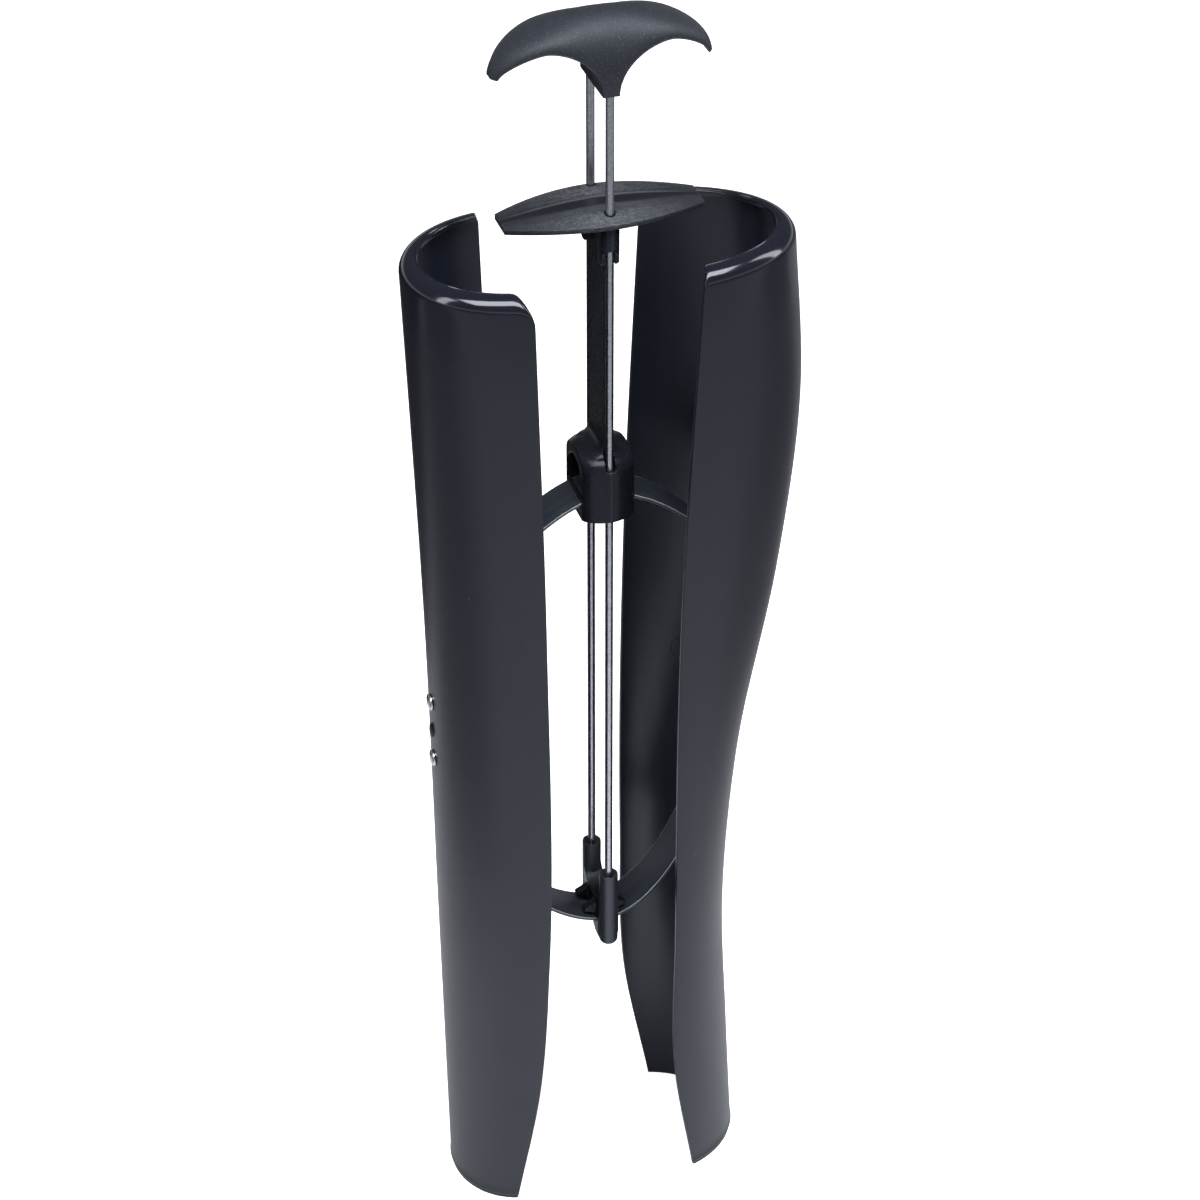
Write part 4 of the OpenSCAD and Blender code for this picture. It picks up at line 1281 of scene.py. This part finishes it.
def blade_ring(z, r=0.5, support=0.15):
    """Rounded outline of the blade, with support points beside the rounds."""
    ring = []
    for sx, sy, start in ((1, 1, 0), (-1, 1, 90), (-1, -1, 180), (1, -1, 270)):
        turn = arc(sx * (blade_t / 2 - r), sy * (blade_half_w - r), r, start, start + 90, 5)
        along, over = support * sind(start), support * cosd(start)
        ring.append((turn[0][0] + along, turn[0][1] - over, z))
        ring += [(px, py, z) for px, py in turn]
        ring.append((turn[-1][0] - over, turn[-1][1] - along, z))
    return ring


def post_blade():
    """The flat blade, from over the hub's window up to the plate."""
    low, high, support = window_top_z + 1, post_top_z, 0.3
    rings = [blade_ring(z) for z in (low, low + support, high - support, high)]
    return facing_out(make_piece("slide_post_blade", *loft(rings), post_gloss))


def post_hub():
    """The drum under a low dome, with the flared neck, the strap's window and its slots."""
    foot, crown_r, crown_z = 0.6, hub_r - 0.35, dome_z + 0.12
    profile = [(0, hub_low_z), (hub_r - foot, hub_low_z), (hub_r, hub_low_z + foot),
               (hub_r, dome_z), (crown_r, crown_z)]
    profile += [(crown_r * cosd(a), crown_z + dome_h * sind(a)) for a in range(8, 90, 8)]
    drum = lathe(profile + [(0, dome_z + dome_h)], steps=128)
    neck_z = dome_z + dome_h - 1.4
    flare = [flare_ring(neck_r * (1 - cosd(a)), a / 90, neck_z + neck_r * (1 - sind(a)))
             for a in range(90, -1, -9)]
    neck = loft([flare_ring(neck_r, 0, neck_z - 2.5)] + flare)
    flats = together(*[block(*sorted((s * hub_flat_x, s * outside)), -outside, outside,
                             bore_low_z, flat_high_z) for s in (-1, 1)])
    sill_z, through = upper_crest_z - 0.2, hub_flat_x + 3
    window = prism(arc(0, window_top_z - window_half_w, window_half_w, 0, 180, 40)
                   + [(-window_half_w, sill_z), (window_half_w, sill_z)], "x", -through, through)
    slots = together(*[block(-slot_half_w, slot_half_w, *sorted((y * blade_half_w, y * slot_end_y)),
                             dome_z - 0.5, slot_high_z) for y in (-1, 1)])
    cuts = [flats, window, strap_room(UPPER, upper_crest_z),
            rod_bores(rod_d / 2 + bore_gap, bore_low_z, bore_high_z), slots]
    return moulded("slide_post_hub", [drum, neck], cuts, post_gloss, voxel=0.28, rounds=13)


def post_collars():
    """The two rod collars under the finger plate, each with a rounded notch outside its rod."""
    foot = 0.7
    profile = [(0, collar_z), (collar_r - foot, collar_z), (collar_r, collar_z + foot),
               (collar_r, post_top_z), (0, post_top_z)]
    collars, notches = [], []
    for y in (-1, 1):
        collars.append(lathe(profile, y * rod_y))
        inner, outer = sorted((y * collar_edge_y, y * rod_y))
        collars.append(block(-collar_r, collar_r, inner, outer, collar_z, post_top_z))
        at = rod_y + rod_d / 2 - 0.6
        low_z, round_z = 410, notch_z - notch_r
        outline = [(y * at, low_z), (y * at, round_z)]
        outline += [(y * (at + notch_r - notch_r * cosd(a)), round_z + notch_r * sind(a))
                    for a in range(10, 91, 10)]
        outline += [(y * outside, notch_z), (y * outside, low_z)]
        notches.append(prism(outline, "x", -6, 6))
    cuts = [rod_bores(rod_d / 2 + bore_gap, bore_low_z, bore_high_z), together(*notches)]
    return moulded("slide_post_collars", collars, cuts, post_gloss, voxel=0.3, rounds=9)


def clip_body():
    """The web between the sleeves, its arched keel and the hooks that hold the lower strap."""
    foot_z, neck_z = lower_crest_z + 2.2, lower_crest_z + 6
    right = [(foot_half_t - 1.2, keel_z), (foot_half_t, keel_z + 3), (foot_half_t, foot_z),
             (web_half_t, neck_z), (web_half_t, web_high_z)]
    left = [(-x, z) for x, z in reversed(right)]
    web = prism(left[-1:] + right + left[:-1], "y", -rod_y, rod_y)
    depth = web_high_z - web_valley_z
    valley_r = (rod_y**2 + depth**2) / (2 * depth)
    round_valley = arc(0, web_valley_z + valley_r, valley_r, 0, 360, 128)[:-1]
    valley = prism(round_valley, "x", -clip_outside, clip_outside)
    hooks = []
    for s in (-1, 1):
        side_view = [(s * 3, lower_crest_z + 1.5), (s * hook_reach, lower_crest_z + 3.6),
                     (s * hook_reach, lower_crest_z + 5.2), (s * 3, lower_crest_z + 8)]
        for y in (-hook_y, hook_y):
            hooks.append(prism(side_view, "y", y - hook_half_w, y + hook_half_w))
    arch_view = [(keel_arch_w * cosd(a), keel_z - 0.4 + keel_arch_h * sind(a))
                 for a in range(0, 181, 6)]
    arch_view += [(-keel_arch_w, keel_z - 3), (keel_arch_w, keel_z - 3)]
    arch = prism(arch_view, "x", -clip_outside, clip_outside)
    cuts = [valley, strap_room(LOWER, lower_crest_z), arch]
    return moulded("rod_clip_moulding", [web] + hooks, cuts, clip_gloss, voxel=0.3, rounds=4)


def clip_sleeves():
    """The two sleeves round the rods' lower ends, with a round foot and a cupped mouth."""
    foot_h, cup_z = sleeve_r * 0.7, sleeve_top_z - cup_depth
    profile = [(0, sleeve_low_z)]
    profile += [(sleeve_r * sind(a), sleeve_low_z + foot_h * (1 - cosd(a)))
                for a in range(15, 91, 15)]
    profile += [(sleeve_r, sleeve_top_z), (sleeve_r - 0.6, sleeve_top_z),
                (rod_d / 2 + 0.3, cup_z), (0, cup_z)]
    sleeves = [lathe(profile, y) for y in (-rod_y, rod_y)]
    cuts = [rod_bores(rod_d / 2, rod_low_z, sleeve_bore_high_z)]
    return moulded("clip_sleeves", sleeves, cuts, sleeve_satin, voxel=0.3, rounds=4)


for part in (post_hub(), post_collars(), post_blade()):
    dressed(part, "post", "slide_post")
    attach(part, "slider")
for part in (clip_body(), clip_sleeves()):
    dressed(part, "post", "rod_clip")
    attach(part, "frame")


# Floor, light and camera

def pale_floor():
    """A white sheet to the camera, and to reflections one that falls off into a dim room."""
    far, white, tints = 4000, 0.92, (0.90, 0.925, 1.0)
    corners = [(-far, -far, 0), (far, -far, 0), (far, far, 0), (-far, far, 0)]
    floor = make_piece("floor", corners, [(0, 1, 2, 3)], smooth=False)
    f = Finish("floor_pale", (white, white, white), 0.9, Specular_IOR_Level=0.0,
               Emission_Color=(1, 1, 1, 1))
    camera = f.node("ShaderNodeLightPath").outputs["Is Camera Ray"]
    x, y, _ = f.axes(f.coords)
    away = f.node("ShaderNodeVectorMath", {"operation": "LENGTH"}, i0=f.coords).outputs["Value"]
    beside = f.times(f.ease(f.size(x), 0.14, 0.42), f.ease(f.size(y), 0.12, 0.40, 1.0, 0.0))
    behind = f.times(f.ease(y, 0.22, 0.45), f.ease(x, -0.12, 0.00, 1.0, 0.0))
    shade = f.times(f.ease(away, 0.15, 0.75, 0.64, 0.30), f.ease(behind, 0.0, 1.0, 1.0, 0.12))
    shade = f.times(shade, f.ease(beside, 0.0, 1.0, 1.0, 0.40))
    red, green, blue = [f.mix(camera, f.times(shade, tint), white) for tint in tints]
    sheet = f.node("ShaderNodeCombineColor", Red=red, Green=green, Blue=blue)
    f.set("Base Color", sheet.outputs[0])
    f.set("Emission Strength", f.times(camera, 0.75))
    floor.data.materials.append(f.material)


def studio_world():
    """White to the camera; a dim room with a paler horizon to what reflects it."""
    world = bpy.data.worlds.new("studio")
    bpy.context.scene.world = world
    world.use_nodes = True
    sky = Nodes(world.node_tree)
    sky.tree.nodes.clear()
    path = sky.node("ShaderNodeLightPath").outputs
    _, _, height = sky.axes(sky.node("ShaderNodeTexCoord").outputs["Generated"])
    horizon = sky.ease(height, -0.02, 0.18, 0.85, 0.10)
    room = sky.mix(path["Is Glossy Ray"], 0.22, horizon)
    clear = sky.math("MAXIMUM", path["Is Camera Ray"], path["Is Transmission Ray"])
    light = sky.node("ShaderNodeBackground", Color=(1, 1, 1, 1), Strength=sky.mix(clear, room, 1.0))
    sky.node("ShaderNodeOutputWorld", Surface=light.outputs[0])


def aimed(obj, place, way):
    """Puts a lamp or a camera at a place, looking that way with its top up."""
    bpy.context.scene.collection.objects.link(obj)
    obj.location = place
    obj.rotation_mode = "QUATERNION"
    obj.rotation_quaternion = way.to_track_quat("-Z", "Y")


def soft_box(name, place, aim, width, depth, power):
    """A rectangular lamp, in metres and watts."""
    lamp = bpy.data.lights.new(name, "AREA")
    lamp.shape = "RECTANGLE"
    lamp.size, lamp.size_y, lamp.energy = width, depth, power
    aimed(bpy.data.objects.new(name, lamp), place, Vector(aim) - Vector(place))


def photo_camera():
    """The photograph's view, as fitted to its outlines."""
    down, turned, distance = math.radians(34.2), math.radians(17.6), 1.2252
    focal_px, frame_px, sensor_mm = 3292.7, 1200, 36
    aim = Vector((0, 0, 0.2687))
    lens = bpy.data.cameras.new("photo_view")
    lens.sensor_width = sensor_mm
    lens.lens = focal_px / frame_px * sensor_mm
    lens.clip_start, lens.clip_end = 0.05, 50
    camera = bpy.data.objects.new("photo_view", lens)
    back = Vector((-math.sin(turned) * math.cos(down), -math.cos(turned) * math.cos(down),
                   math.sin(down)))
    aimed(camera, aim + back * distance, -back)
    bpy.context.scene.camera = camera


pale_floor()
studio_world()
soft_box("overhead_box", (0.0, -0.46, 1.45), (0, -0.05, 0.4), width=1.8, depth=0.64, power=38)
soft_box("left_box", (-1.2, -0.2, 0.9), (0, 0, 0.28), width=0.25, depth=1.0, power=5)
soft_box("right_box", (1.2, -0.1, 0.9), (0, 0, 0.28), width=0.25, depth=1.0, power=5)
photo_camera()
bpy.context.scene.view_settings.view_transform = "Standard"
